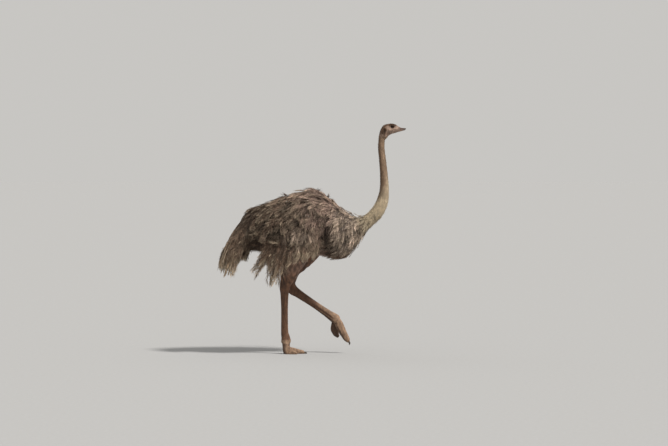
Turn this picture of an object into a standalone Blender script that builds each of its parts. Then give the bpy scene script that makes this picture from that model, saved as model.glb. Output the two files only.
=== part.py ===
"""Female ostrich, caught in mid stride, as a still life-size model.

Metres, +Z up.  +X is the way the bird walks, +Y is its left side, and the floor
is z = 0.  The right foot carries the bird and the left one is lifted forwards.
The origin lies on the sole of the standing foot, under the bird's middle.

Trunk, neck and head are one long loft, parted with thin cuts.  Each of its
stations is a row of a table: the point on the back line, the point on the belly
line and the half width between them.  Legs and toes are tubes through rows of
centre and half thickness.  Wings, tail and plumes are draped over the trunk as
closed shells that end in ragged locks.
"""
import math

import bmesh
import bpy
from mathutils import Vector

NAME = "ostrich"
GAP = 0.0003          # between pieces that meet face to face
DRAPE_GAP = 0.0025    # between the faceted trunk and the wings lying on it
RIGHT = -1.0          # sign of y on the bird's right side
LEFT = 1.0

# ------------------------------------------------------------- trunk and neck
# back x, back z, belly x, belly z, half width
TRUNK_ROWS = (
    (-0.300, 1.192, -0.282, 0.868, 0.150),
    (-0.132, 1.262, -0.160, 0.848, 0.190),
    (0.033, 1.326, 0.010, 0.822, 0.226),
    (0.150, 1.348, 0.170, 0.808, 0.240),
    (0.239, 1.352, 0.300, 0.800, 0.236),
    (0.321, 1.318, 0.415, 0.783, 0.220),
    (0.403, 1.250, 0.505, 0.803, 0.194),
    (0.485, 1.192, 0.578, 0.882, 0.156),
    (0.592, 1.136, 0.642, 0.978, 0.100),
)
TRUNK_STEPS = 2
TRUNK_SIDES = 26

NECK_ROWS = (
    (0.592, 1.136, 0.642, 0.978, 0.100),
    (0.663, 1.164, 0.716, 1.056, 0.069),
    (0.722, 1.224, 0.786, 1.128, 0.055),
    (0.756, 1.300, 0.836, 1.235, 0.045),
    (0.770, 1.372, 0.847, 1.350, 0.040),
    (0.772, 1.475, 0.838, 1.470, 0.035),
    (0.765, 1.596, 0.823, 1.594, 0.030),
    (0.757, 1.690, 0.811, 1.687, 0.0265),
    (0.761, 1.768, 0.813, 1.755, 0.0255),
)
NECK_CUTS = (0, 3, 6, 8)      # rows where the neck is parted
NECK_NODES = ("neck_lower", "neck_middle", "neck_upper")
NECK_STEPS = 3
NECK_SIDES = 16

# ------------------------------------------------------------------------ head
HEAD_ROWS = (
    (0.761, 1.768, 0.813, 1.755, 0.0255),
    (0.768, 1.810, 0.829, 1.777, 0.0270),
    (0.780, 1.848, 0.843, 1.795, 0.0300),
    (0.800, 1.878, 0.857, 1.805, 0.0345),
    (0.832, 1.891, 0.870, 1.811, 0.0375),
    (0.868, 1.894, 0.884, 1.815, 0.0385),
    (0.897, 1.888, 0.903, 1.820, 0.0335),
    (0.921, 1.873, 0.921, 1.825, 0.0285),
)
HEAD_STEPS = 2
HEAD_SIDES = 20
HEAD_SQUARE = 2.3             # how far a section leaves the ellipse

GAPE_Z = 1.8475               # height of the line between the two bills
# x, top z, half width of the upper bill; its underside is the gape
UPPER_BILL_ROWS = (
    (0.921, 1.873, 0.0285),
    (0.938, 1.862, 0.0262),
    (0.956, 1.858, 0.0238),
    (0.972, 1.857, 0.0205),
    (0.983, 1.855, 0.0150),
    (0.987, 1.851, 0.0080),
)
# x, bottom z, half width of the lower bill; its upper side is the gape
LOWER_BILL_ROWS = (
    (0.921, 1.825, 0.0280),
    (0.938, 1.829, 0.0240),
    (0.956, 1.834, 0.0215),
    (0.970, 1.838, 0.0180),
    (0.979, 1.8415, 0.0125),
    (0.982, 1.8445, 0.0065),
)
BILL_SIDES = 16

EYE_AT = (0.874, 0.0235, 1.8685)
EYE_RADIUS = 0.0168
EAR_AT = (0.821, 0.0335, 1.846)
EAR_RADII = (0.0075, 0.0035, 0.0095)
BALL_SIDES = 14
BALL_RINGS = 8

# ------------------------------------------------------------------------ tail
# The same rows as the trunk, running on round the rump and down the plumes.
TAIL_ROWS = (
    (-0.300, 1.192, -0.282, 0.868, 0.150),
    (-0.376, 1.104, -0.297, 0.854, 0.160),
    (-0.448, 0.990, -0.310, 0.836, 0.163),
    (-0.503, 0.880, -0.316, 0.808, 0.164),
    (-0.540, 0.790, -0.310, 0.778, 0.158),
)
TAIL_SIDES = 40
TAIL_STEPS = 2
TAIL_LOCKS = 10               # ragged locks round the end of the tail
TAIL_REAR_DROP = 0.080        # how far the rearmost lock hangs below the last row
TAIL_MIDDLE_DROP = 0.075      # what the locks halfway to the legs hang lower
TAIL_FRONT_RISE = 0.050       # what the locks nearest the legs are shorter
TAIL_LOCK_NOTCH = 0.50        # share of the drop lost between two locks
TAIL_LOCK_SPREAD = 0.05       # how much wider than the last row the locks end
TAIL_HOLLOW = 0.40            # the plumes' inner side, as a share of the last row

# ----------------------------------------------------------------------- wings
# Front to rear along the folded wing: top x, top z, lower x, lower z
WING_ROWS = (
    (0.345, 1.120, 0.335, 0.985),
    (0.300, 1.190, 0.270, 0.925),
    (0.190, 1.242, 0.160, 0.890),
    (0.050, 1.228, 0.030, 0.880),
    (-0.090, 1.180, -0.100, 0.900),
    (-0.200, 1.115, -0.195, 0.935),
    (-0.262, 1.040, -0.245, 0.985),
)
WING_STEPS = 2
WING_DOWN = 8                 # facets from the wing's upper to its lower edge
WING_THICK = 0.036
WING_ENDS = 0.02              # share of the wing at each end that keeps its edge's thickness
WING_SWELL_START = 0.04       # how far round the swelling's arc the upper edge is
WING_SWELL_ARC = 0.60         # how much of that arc lies between the two edges
WING_SWELL_POWER = 0.8        # under 1, the wing is fuller near its upper edge
EDGE_THICK = 0.0030
LOCK_BLUNTNESS = 0.7          # under 1, a lock of plumes is blunt and its notches narrow
LOCK_LENGTH = 0.88            # a lock's middling length; the locks differ by a wave
LOCK_VARIATION = 0.12
LOCK_WAVE = 2.3               # radians of that wave from one lock to the next
LOCK_WAVE_START = 0.9
LOCK_ROUNDING = 1e-6

# Plumes hang from the wing's lower edge: share of that edge, tip x, tip z
RIGHT_PLUME_ROWS = (
    (0.00, 0.292, 0.890),
    (0.14, 0.222, 0.800),
    (0.27, 0.130, 0.758),
    (0.39, 0.040, 0.735),
    (0.49, -0.050, 0.640),
    (0.58, -0.100, 0.568),
    (0.66, -0.160, 0.615),
    (0.75, -0.240, 0.625),
    (0.84, -0.300, 0.650),
    (0.93, -0.243, 0.745),
    (1.00, -0.214, 0.862),
)
LEFT_PLUME_ROWS = (
    (0.00, 0.300, 0.885),
    (0.14, 0.225, 0.800),
    (0.27, 0.130, 0.752),
    (0.39, 0.040, 0.730),
    (0.50, -0.040, 0.690),
    (0.63, -0.110, 0.680),
    (0.76, -0.165, 0.725),
    (0.88, -0.205, 0.800),
    (1.00, -0.230, 0.885),
)
PLUME_STEPS = 5
PLUME_EDGE_STEPS = 40         # how finely the roots follow the wing's lower edge
PLUME_DOWN = 4
PLUME_LOCKS = 9
PLUME_NOTCH = 0.30            # share of a plume's length lost between two locks
PLUME_THICK = 0.034
PLUME_ENDS = 0.03             # share of the row at each end that keeps the edge's thickness
PLUME_THINNING = 0.9          # share of the thickness lost at the tips
PLUME_THINNING_POWER = 1.5    # over 1, most of it goes near the tips
PLUME_LOCK_SWELL = 0.006      # how much thicker a lock is than its edges, halfway down
PLUME_TUCK = 0.018            # how far the tips hang inwards of the wing
PLUME_SWEEP = 1.4             # over 1, plumes leave the wing steeply and curl back
PLUME_BELOW = 0.003           # from the wing's lower edge to the plumes' roots

# ------------------------------------------------------------------------ legs
# Centre x, y, z, half depth fore and aft, half width; thigh to toe joint.
STANDING_LEG_ROWS = (
    (0.120, -0.142, 0.930, 0.112, 0.086),
    (0.080, -0.134, 0.835, 0.112, 0.080),
    (0.047, -0.120, 0.757, 0.096, 0.069),
    (0.031, -0.105, 0.695, 0.078, 0.056),
    (0.014, -0.088, 0.630, 0.060, 0.044),
    (-0.002, -0.073, 0.580, 0.047, 0.037),
    (-0.010, -0.064, 0.540, 0.042, 0.035),
    (-0.011, -0.055, 0.490, 0.033, 0.027),
    (-0.011, -0.042, 0.400, 0.0270, 0.0215),
    (-0.011, -0.026, 0.290, 0.0265, 0.0205),
    (-0.010, -0.012, 0.180, 0.0285, 0.0225),
    (-0.003, -0.007, 0.135, 0.0350, 0.0280),
    (0.000, -0.006, 0.100, 0.0400, 0.0330),
    (0.001, -0.006, 0.082, 0.0330, 0.0310),
)
LIFTED_LEG_ROWS = (
    (0.215, 0.142, 0.930, 0.120, 0.086),
    (0.158, 0.138, 0.840, 0.112, 0.080),
    (0.112, 0.130, 0.760, 0.086, 0.069),
    (0.078, 0.120, 0.695, 0.057, 0.054),
    (0.052, 0.112, 0.635, 0.043, 0.042),
    (0.036, 0.106, 0.580, 0.038, 0.036),
    (0.050, 0.102, 0.528, 0.043, 0.035),
    (0.105, 0.098, 0.488, 0.034, 0.028),
    (0.180, 0.094, 0.438, 0.0290, 0.0220),
    (0.260, 0.090, 0.384, 0.0280, 0.0210),
    (0.338, 0.086, 0.330, 0.0310, 0.0230),
    (0.382, 0.084, 0.299, 0.0370, 0.0280),
    (0.407, 0.083, 0.280, 0.0410, 0.0325),
    (0.419, 0.083, 0.264, 0.0350, 0.0305),
)
HOCK_ROW = 6                  # the row where drumstick and tarsus are parted
LEG_SIDES = 16

# The standing toes, from the joint to the tip: upper x, upper z, sole x, sole z,
# y, half width.  What dips under the floor is pressed flat on it.
STANDING_INNER_TOE_ROWS = (
    (0.031, 0.087, -0.031, 0.087, 0.008, 0.0230),
    (0.031, 0.062, -0.029, 0.055, 0.008, 0.0245),
    (0.036, 0.054, -0.025, 0.024, 0.009, 0.0260),
    (0.044, 0.052, -0.014, -0.004, 0.010, 0.0280),
    (0.060, 0.048, 0.015, -0.010, 0.011, 0.0295),
    (0.085, 0.041, 0.060, -0.010, 0.012, 0.0300),
    (0.112, 0.033, 0.100, -0.010, 0.012, 0.0290),
    (0.140, 0.026, 0.134, -0.010, 0.012, 0.0250),
    (0.1504, 0.018, 0.1502, -0.005, 0.012, 0.0160),
)
STANDING_OUTER_TOE_ROWS = (
    (0.023, 0.087, -0.023, 0.087, -0.030, 0.0130),
    (0.025, 0.060, -0.021, 0.052, -0.037, 0.0150),
    (0.031, 0.048, -0.014, 0.012, -0.045, 0.0170),
    (0.046, 0.038, 0.014, -0.010, -0.055, 0.0185),
    (0.070, 0.028, 0.056, -0.010, -0.065, 0.0175),
    (0.087, 0.021, 0.081, -0.008, -0.072, 0.0130),
    (0.093, 0.014, 0.092, -0.004, -0.075, 0.0080),
)
# Lifted toes and both claws are tubes: centre x, y, z, half depth, half width.
LIFTED_INNER_TOE_ROWS = (
    (0.414, 0.070, 0.2760, 0.0290, 0.0220),
    (0.436, 0.068, 0.2400, 0.0320, 0.0245),
    (0.452, 0.067, 0.2050, 0.0320, 0.0265),
    (0.470, 0.066, 0.1690, 0.0290, 0.0275),
    (0.489, 0.065, 0.1360, 0.0260, 0.0265),
    (0.507, 0.064, 0.1080, 0.0200, 0.0220),
    (0.517, 0.064, 0.0950, 0.0110, 0.0140),
)
LIFTED_OUTER_TOE_ROWS = (
    (0.408, 0.1060, 0.2720, 0.0250, 0.0130),
    (0.402, 0.1120, 0.2350, 0.0280, 0.0150),
    (0.398, 0.1180, 0.2000, 0.0300, 0.0165),
    (0.406, 0.1240, 0.1680, 0.0260, 0.0165),
    (0.421, 0.1290, 0.1440, 0.0190, 0.0145),
    (0.434, 0.1310, 0.1310, 0.0100, 0.0085),
)
TOE_SIDES = 14

STANDING_CLAW_ROWS = (
    (0.1490, 0.012, 0.0098, 0.0080, 0.0105),
    (0.158, 0.012, 0.0085, 0.0078, 0.0098),
    (0.166, 0.012, 0.0058, 0.0060, 0.0070),
    (0.173, 0.012, 0.0024, 0.0026, 0.0030),
)
LIFTED_CLAW_ROWS = (
    (0.5168, 0.064, 0.0955, 0.0085, 0.0110),
    (0.5225, 0.064, 0.0860, 0.0075, 0.0095),
    (0.5230, 0.064, 0.0765, 0.0054, 0.0065),
    (0.5190, 0.064, 0.0660, 0.0018, 0.0022),
)
CLAW_SIDES = 10

# ------------------------------------------------------------------- materials
# red, green, blue, roughness
FINISHES = {
    "body_feather": (0.160, 0.133, 0.120, 0.9),
    "pale_plume": (0.330, 0.280, 0.240, 0.9),
    "neck_down": (0.400, 0.345, 0.290, 0.9),
    "bare_skin": (0.130, 0.080, 0.062, 0.6),
    "scaled_skin": (0.150, 0.098, 0.075, 0.55),
    "bill_horn": (0.270, 0.200, 0.160, 0.45),
    "claw_horn": (0.060, 0.045, 0.035, 0.4),
    "eye": (0.020, 0.012, 0.008, 0.08),
}


# ------------------------------------------------------------------ mesh tools
def make_material(name):
    """One Principled material from its row in FINISHES."""
    red, green, blue, roughness = FINISHES[name]
    material = bpy.data.materials.new(name)
    material.use_nodes = True
    shader = material.node_tree.nodes["Principled BSDF"]
    shader.inputs["Base Color"].default_value = (red, green, blue, 1.0)
    shader.inputs["Roughness"].default_value = roughness
    shader.inputs["Metallic"].default_value = 0.0
    return material


def add_object(name, bm, finish, collection):
    """Turn a closed bmesh into a named object with smooth shading."""
    bmesh.ops.recalc_face_normals(bm, faces=bm.faces)
    if bm.calc_volume(signed=True) < 0.0:
        bmesh.ops.reverse_faces(bm, faces=bm.faces)
    mesh = bpy.data.meshes.new(name)
    bm.to_mesh(mesh)
    bm.free()
    mesh.shade_smooth()
    mesh.set_sharp_from_angle(angle=math.radians(50.0))
    piece = bpy.data.objects.new(name, mesh)
    material = bpy.data.materials.get(finish) or make_material(finish)
    mesh.materials.append(material)
    collection.objects.link(piece)
    return piece


def blend_rows(rows, steps):
    """Catmull-Rom rows: steps rings for each gap between two rows."""
    result = []
    last = len(rows) - 1
    for index in range(last):
        before = rows[max(index - 1, 0)]
        start = rows[index]
        end = rows[index + 1]
        after = rows[min(index + 2, last)]
        for step in range(steps):
            t = step / steps
            result.append(tuple(
                0.5 * (2 * b + (c - a) * t + (2 * a - 5 * b + 4 * c - d) * t * t
                       + (3 * b - a - 3 * c + d) * t ** 3)
                for a, b, c, d in zip(before, start, end, after)))
    result.append(rows[last])
    return result


def round_section(centre, depth, width, sides, square=2.0):
    """Points of a superellipse spanned by two half-axis vectors."""
    points = []
    for index in range(sides):
        angle = 2.0 * math.pi * index / sides
        along = math.copysign(abs(math.cos(angle)) ** (2.0 / square), math.cos(angle))
        across = math.copysign(abs(math.sin(angle)) ** (2.0 / square), math.sin(angle))
        points.append(centre + depth * along + width * across)
    return points


def loft(rings):
    """A closed bmesh through rings of equal count, capped at both ends."""
    bm = bmesh.new()
    loops = [[bm.verts.new(point) for point in ring] for ring in rings]
    count = len(loops[0])
    for lower, upper in zip(loops, loops[1:]):
        for index in range(count):
            following = (index + 1) % count
            bm.faces.new((lower[index], lower[following], upper[following], upper[index]))
    bm.faces.new(loops[0])
    bm.faces.new(loops[-1])
    return bm


def body_ring(row, sides, square=2.0):
    """Section through a back point and a belly point, round the middle plane."""
    back_x, back_z, belly_x, belly_z, half_width = row
    back = Vector((back_x, 0.0, back_z))
    belly = Vector((belly_x, 0.0, belly_z))
    width = Vector((0.0, half_width, 0.0))
    return round_section((back + belly) / 2, (back - belly) / 2, width, sides, square)


def slide_ring(ring, target, distance):
    """Move a flat end ring towards a point, to leave a thin cut."""
    middle = sum(ring, Vector()) / len(ring)
    shift = (target - middle).normalized() * distance
    return [point + shift for point in ring]


def body_length(rows, steps, sides, square=2.0):
    """Rings of one length of the body, each end drawn in by half a cut."""
    rings = [body_ring(row, sides, square) for row in blend_rows(rows, steps)]
    middle = sum((sum(ring, Vector()) / sides for ring in rings), Vector()) / len(rings)
    rings[0] = slide_ring(rings[0], middle, GAP / 2)
    rings[-1] = slide_ring(rings[-1], middle, GAP / 2)
    return rings


def tube_rings(rows, steps, sides, square=2.0):
    """Rings square to a path of centre and half-thickness rows."""
    rows = blend_rows(rows, steps)
    centres = [Vector(row[:3]) for row in rows]
    rings = []
    for index, row in enumerate(rows):
        before = centres[max(index - 1, 0)]
        after = centres[min(index + 1, len(rows) - 1)]
        along = (after - before).normalized()
        across = Vector((0.0, 1.0, 0.0))
        across = (across - along * across.dot(along)).normalized()
        depth = across.cross(along)
        rings.append(round_section(
            centres[index], depth * row[3], across * row[4], sides, square))
    return rings


def sole_rings(rows, sides):
    """Sections between a toe's upper side and its sole, pressed flat at the floor."""
    rings = []
    for upper_x, upper_z, sole_x, sole_z, y, half_width in rows:
        upper = Vector((upper_x, y, upper_z))
        sole = Vector((sole_x, y, sole_z))
        width = Vector((0.0, half_width, 0.0))
        ring = round_section((upper + sole) / 2, (upper - sole) / 2, width, sides)
        rings.append([Vector((p.x, p.y, max(p.z, 0.0))) for p in ring])
    return rings


def grown_copy(piece, distance, cutters):
    """A wire copy of a piece, grown along its normals, to cut a neighbour with."""
    bm = bmesh.new()
    bm.from_mesh(piece.data)
    bm.normal_update()
    for vertex in bm.verts:
        vertex.co += vertex.normal * distance
    mesh = bpy.data.meshes.new(piece.name + "_cutter")
    bm.to_mesh(mesh)
    bm.free()
    cutter = bpy.data.objects.new(piece.name + "_cutter", mesh)
    cutter.hide_render = True
    cutter.display_type = "WIRE"
    cutters.objects.link(cutter)
    return cutter


def cut(piece, cutter):
    """Take a cutter's shape out of a piece."""
    modifier = piece.modifiers.new("cut_" + cutter.name, "BOOLEAN")
    modifier.operation = "DIFFERENCE"
    modifier.object = cutter


# ------------------------------------------------------------ trunk to the bill
def make_trunk(parts):
    rings = body_length(TRUNK_ROWS, TRUNK_STEPS, TRUNK_SIDES)
    return add_object("trunk", loft(rings), "body_feather", parts)


def make_neck(parts):
    for node, first, last in zip(NECK_NODES, NECK_CUTS, NECK_CUTS[1:]):
        rings = body_length(NECK_ROWS, NECK_STEPS, NECK_SIDES)
        rings = rings[first * NECK_STEPS:last * NECK_STEPS + 1]
        middle = sum(rings[len(rings) // 2], Vector()) / NECK_SIDES
        rings[0] = slide_ring(rings[0], middle, GAP / 2)
        rings[-1] = slide_ring(rings[-1], middle, GAP / 2)
        add_object(node, loft(rings), "neck_down", parts)


def make_head(parts, cutters):
    rings = body_length(HEAD_ROWS, HEAD_STEPS, HEAD_SIDES, HEAD_SQUARE)
    head = add_object("head", loft(rings), "neck_down", parts)
    for side, word in ((RIGHT, "right"), (LEFT, "left")):
        eye = make_ball("eye_" + word, EYE_AT, (EYE_RADIUS,) * 3, side, "eye", parts)
        ear = make_ball("ear_" + word, EAR_AT, EAR_RADII, side, "neck_down", parts)
        cut(head, grown_copy(eye, GAP, cutters))
        cut(head, grown_copy(ear, GAP, cutters))


def make_ball(name, at, radii, side, finish, parts):
    """An ellipsoid set into the side of the head."""
    bm = bmesh.new()
    bmesh.ops.create_uvsphere(bm, u_segments=BALL_SIDES, v_segments=BALL_RINGS, radius=1.0)
    for vertex in bm.verts:
        vertex.co = Vector((
            at[0] + vertex.co.x * radii[0],
            side * at[1] + vertex.co.z * radii[1],
            at[2] + vertex.co.y * radii[2]))
    return add_object(name, bm, finish, parts)


def bill_rings(rows, gape):
    """Flattened half sections on one side of the gape."""
    rings = []
    for x, edge_z, half_width in rows:
        back = Vector((x, 0.0, edge_z))
        mouth = Vector((x, 0.0, gape))
        ring = []
        for index in range(BILL_SIDES):
            turn = math.pi * index / (BILL_SIDES - 1)
            rise = math.sin(turn) ** 0.8
            ring.append(mouth + (back - mouth) * rise
                        + Vector((0.0, half_width * math.cos(turn), 0.0)))
        rings.append(ring)
    rings[0] = [point + Vector((GAP, 0.0, 0.0)) for point in rings[0]]
    return rings


def make_bill(parts):
    upper = bill_rings(blend_rows(UPPER_BILL_ROWS, 1), GAPE_Z + GAP)
    lower = bill_rings(blend_rows(LOWER_BILL_ROWS, 1), GAPE_Z - GAP)
    add_object("bill_upper", loft(upper), "bill_horn", parts)
    add_object("bill_lower", loft(lower), "bill_horn", parts)


# ------------------------------------------------------------------------ tail
def lock_wave(position, locks):
    """1 in the middle of a ragged lock and 0 between two, with uneven lengths."""
    wave = abs(math.sin(math.pi * locks * position)) ** LOCK_BLUNTNESS
    number = math.floor(locks * position + LOCK_ROUNDING)
    uneven = LOCK_LENGTH + LOCK_VARIATION * math.sin(LOCK_WAVE * number + LOCK_WAVE_START)
    return wave, uneven


def make_tail(parts):
    rings = body_length(TAIL_ROWS, TAIL_STEPS, TAIL_SIDES)[:-1]
    last = body_ring(TAIL_ROWS[-1], TAIL_SIDES)
    centre = sum(last, Vector()) / TAIL_SIDES
    rear_x, _, front_x, _, _ = TAIL_ROWS[-1]
    outer = []
    for index, point in enumerate(last):
        forward = (point.x - rear_x) / (front_x - rear_x)
        wave, uneven = lock_wave(index / TAIL_SIDES, TAIL_LOCKS)
        drop = TAIL_REAR_DROP - TAIL_FRONT_RISE * forward ** 2
        drop += TAIL_MIDDLE_DROP * math.sin(math.pi * min(max(forward, 0.0), 1.0))
        drop *= uneven * (1.0 - TAIL_LOCK_NOTCH * (1.0 - wave))
        spread = (point - centre) * TAIL_LOCK_SPREAD * wave
        outer.append(point + spread + Vector((0.0, 0.0, -drop)))
    inner = [centre + (point - centre) * TAIL_HOLLOW for point in last]
    rings.append(last)
    rings.append(outer)
    rings.append(inner)
    return add_object("tail", loft(rings), "pale_plume", parts)


# ----------------------------------------------------------------------- wings
TRUNK_FINE_ROWS = blend_rows(TRUNK_ROWS, 24)


def trunk_half_width(x, z):
    """Half width of the trunk at a height, and at its widest in that section."""
    best = None
    for row in TRUNK_FINE_ROWS:
        back_x, back_z, belly_x, belly_z, half_width = row
        height = (z - belly_z) / (back_z - belly_z)
        line_x = belly_x + (back_x - belly_x) * height
        miss = abs(line_x - x)
        if best is None or miss < best[0]:
            best = (miss, height, half_width)
    _, height, half_width = best
    offset = max(min(2.0 * height - 1.0, 1.0), 0.0)
    return half_width * math.sqrt(max(1.0 - offset * offset, 0.0)), half_width


def shell(name, columns, side, finish, parts):
    """A closed shell from columns of (x, z, inner y, outer y)."""
    bm = bmesh.new()
    inner = [[bm.verts.new((x, side * low, z)) for x, z, low, _ in column]
             for column in columns]
    outer = [[bm.verts.new((x, side * high, z)) for x, z, _, high in column]
             for column in columns]
    wide = len(columns)
    tall = len(columns[0])
    for a in range(wide - 1):
        for b in range(tall - 1):
            bm.faces.new((inner[a][b], inner[a][b + 1], inner[a + 1][b + 1], inner[a + 1][b]))
            bm.faces.new((outer[a][b], outer[a + 1][b], outer[a + 1][b + 1], outer[a][b + 1]))
    for a in range(wide - 1):
        for b in (0, tall - 1):
            bm.faces.new((inner[a][b], inner[a + 1][b], outer[a + 1][b], outer[a][b]))
    for b in range(tall - 1):
        for a in (0, wide - 1):
            bm.faces.new((inner[a][b], outer[a][b], outer[a][b + 1], inner[a][b + 1]))
    return add_object(name, bm, finish, parts)


def make_wing(name, side, parts):
    """The folded wing, lying on the trunk's flank."""
    rows = blend_rows(WING_ROWS, WING_STEPS)
    columns = []
    for index, (top_x, top_z, low_x, low_z) in enumerate(rows):
        along = index / (len(rows) - 1)
        inner_share = min(max(along, WING_ENDS), 1.0 - WING_ENDS)
        swell_along = math.sqrt(math.sin(math.pi * inner_share))
        column = []
        for step in range(WING_DOWN + 1):
            down = step / WING_DOWN
            x = top_x + (low_x - top_x) * down
            z = top_z + (low_z - top_z) * down
            low = trunk_half_width(x, z)[0] + DRAPE_GAP
            arc = WING_SWELL_START + WING_SWELL_ARC * down
            swell_down = math.sin(math.pi * arc) ** WING_SWELL_POWER
            thick = EDGE_THICK + WING_THICK * swell_along * swell_down
            column.append((x, z, low, low + thick))
        columns.append(column)
    return shell(name, columns, side, "body_feather", parts)


def make_plumes(name, rows, side, parts):
    """Loose plumes that hang from the wing over the thigh, in ragged locks."""
    edge = blend_rows(WING_ROWS, PLUME_EDGE_STEPS)
    rows = blend_rows(rows, PLUME_STEPS)
    columns = []
    for index, (share, tip_x, tip_z) in enumerate(rows):
        along = index / (len(rows) - 1)
        _, _, root_x, root_z = edge[round(share * (len(edge) - 1))]
        root_z -= PLUME_BELOW
        wave, uneven = lock_wave(along, PLUME_LOCKS)
        reach = 1.0 - PLUME_NOTCH * (1.0 - wave) * uneven
        root_y = trunk_half_width(root_x, root_z)[1] + DRAPE_GAP
        inner_share = min(max(along, PLUME_ENDS), 1.0 - PLUME_ENDS)
        ends = math.sqrt(math.sin(math.pi * inner_share))
        column = []
        for step in range(PLUME_DOWN + 1):
            down = step / PLUME_DOWN
            x = root_x + (tip_x - root_x) * (down * reach) ** PLUME_SWEEP
            z = root_z + (tip_z - root_z) * down * reach
            low = root_y - PLUME_TUCK * down * down * ends
            thinned = 1.0 - PLUME_THINNING * down ** PLUME_THINNING_POWER
            thick = EDGE_THICK + PLUME_THICK * ends * thinned
            thick += PLUME_LOCK_SWELL * wave * math.sin(math.pi * down)
            column.append((x, z, low, low + thick))
        columns.append(column)
    return shell(name, columns, side, "pale_plume", parts)


# ------------------------------------------------------------------------ legs
def make_leg(word, rows, trunk_cutter, parts):
    """Drumstick and tarsus, parted square to the leg at the hock."""
    rings = tube_rings(rows, 1, LEG_SIDES)
    hock = rings[HOCK_ROW]
    above = sum(rings[HOCK_ROW - 1], Vector()) / LEG_SIDES
    below = sum(rings[HOCK_ROW + 1], Vector()) / LEG_SIDES
    upper = rings[:HOCK_ROW] + [slide_ring(hock, above, GAP)]
    lower = [slide_ring(hock, below, GAP)] + rings[HOCK_ROW + 1:]
    drumstick = add_object("drumstick_" + word, loft(upper), "bare_skin", parts)
    cut(drumstick, trunk_cutter)
    return add_object("tarsus_" + word, loft(lower), "scaled_skin", parts)


def make_foot(word, tarsus, toes, claw_rows, parts, cutters):
    """Two toes cut to the end of the tarsus, and the claw of the inner one."""
    inner_rings, outer_rings = toes
    inner = add_object("toe_inner_" + word, loft(inner_rings), "scaled_skin", parts)
    outer = add_object("toe_outer_" + word, loft(outer_rings), "scaled_skin", parts)
    claw_rings = tube_rings(claw_rows, 1, CLAW_SIDES)
    claw = add_object("claw_" + word, loft(claw_rings), "claw_horn", parts)
    tarsus_cutter = grown_copy(tarsus, 2 * GAP, cutters)
    inner_cutter = grown_copy(inner, 2 * GAP, cutters)
    cut(inner, tarsus_cutter)
    cut(outer, tarsus_cutter)
    cut(outer, inner_cutter)
    cut(claw, inner_cutter)


# ----------------------------------------------------------------------- build
def clear_scene():
    for item in list(bpy.data.objects):
        bpy.data.objects.remove(item, do_unlink=True)


def new_collection(name):
    collection = bpy.data.collections.new(name)
    bpy.context.scene.collection.children.link(collection)
    return collection


def main():
    clear_scene()
    parts = new_collection(NAME)
    cutters = new_collection("cutters")
    trunk = make_trunk(parts)
    trunk_cutter = grown_copy(trunk, GAP, cutters)
    make_neck(parts)
    make_head(parts, cutters)
    make_bill(parts)
    make_tail(parts)
    make_wing("wing_right", RIGHT, parts)
    make_wing("wing_left", LEFT, parts)
    make_plumes("wing_plumes_right", RIGHT_PLUME_ROWS, RIGHT, parts)
    make_plumes("wing_plumes_left", LEFT_PLUME_ROWS, LEFT, parts)
    right = make_leg("right", STANDING_LEG_ROWS, trunk_cutter, parts)
    left = make_leg("left", LIFTED_LEG_ROWS, trunk_cutter, parts)
    standing_toes = (sole_rings(STANDING_INNER_TOE_ROWS, TOE_SIDES),
                     sole_rings(STANDING_OUTER_TOE_ROWS, TOE_SIDES))
    lifted_toes = (tube_rings(LIFTED_INNER_TOE_ROWS, 1, TOE_SIDES),
                   tube_rings(LIFTED_OUTER_TOE_ROWS, 1, TOE_SIDES))
    make_foot("right", right, standing_toes, STANDING_CLAW_ROWS, parts, cutters)
    make_foot("left", left, lifted_toes, LIFTED_CLAW_ROWS, parts, cutters)


main()
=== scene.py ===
"""Looks of the ostrich: one skin over the whole bird, feathers as solid mesh, bill, eyes, claws.

Frame: +X is the way the bird faces, +Y its left side, z = 0 the floor.
"""
import math

import bmesh
import bpy
import numpy as np
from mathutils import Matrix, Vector, kdtree
from mathutils.bvhtree import BVHTree


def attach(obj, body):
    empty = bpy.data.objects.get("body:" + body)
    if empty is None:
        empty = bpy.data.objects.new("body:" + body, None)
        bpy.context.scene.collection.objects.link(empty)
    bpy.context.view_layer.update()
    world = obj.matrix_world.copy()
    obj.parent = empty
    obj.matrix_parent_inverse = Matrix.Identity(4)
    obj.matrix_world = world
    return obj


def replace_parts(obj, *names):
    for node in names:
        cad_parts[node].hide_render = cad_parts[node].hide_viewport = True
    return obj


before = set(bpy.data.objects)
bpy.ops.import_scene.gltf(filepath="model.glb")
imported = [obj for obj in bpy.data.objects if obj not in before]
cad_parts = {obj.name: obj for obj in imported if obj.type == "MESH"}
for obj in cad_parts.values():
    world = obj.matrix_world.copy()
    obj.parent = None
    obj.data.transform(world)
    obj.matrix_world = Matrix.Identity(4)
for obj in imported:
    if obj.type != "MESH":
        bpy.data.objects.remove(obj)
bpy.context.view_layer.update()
RIGHT = -1
LEFT = 1
DOWN = np.array((0.0, 0.0, -1.0))

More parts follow.
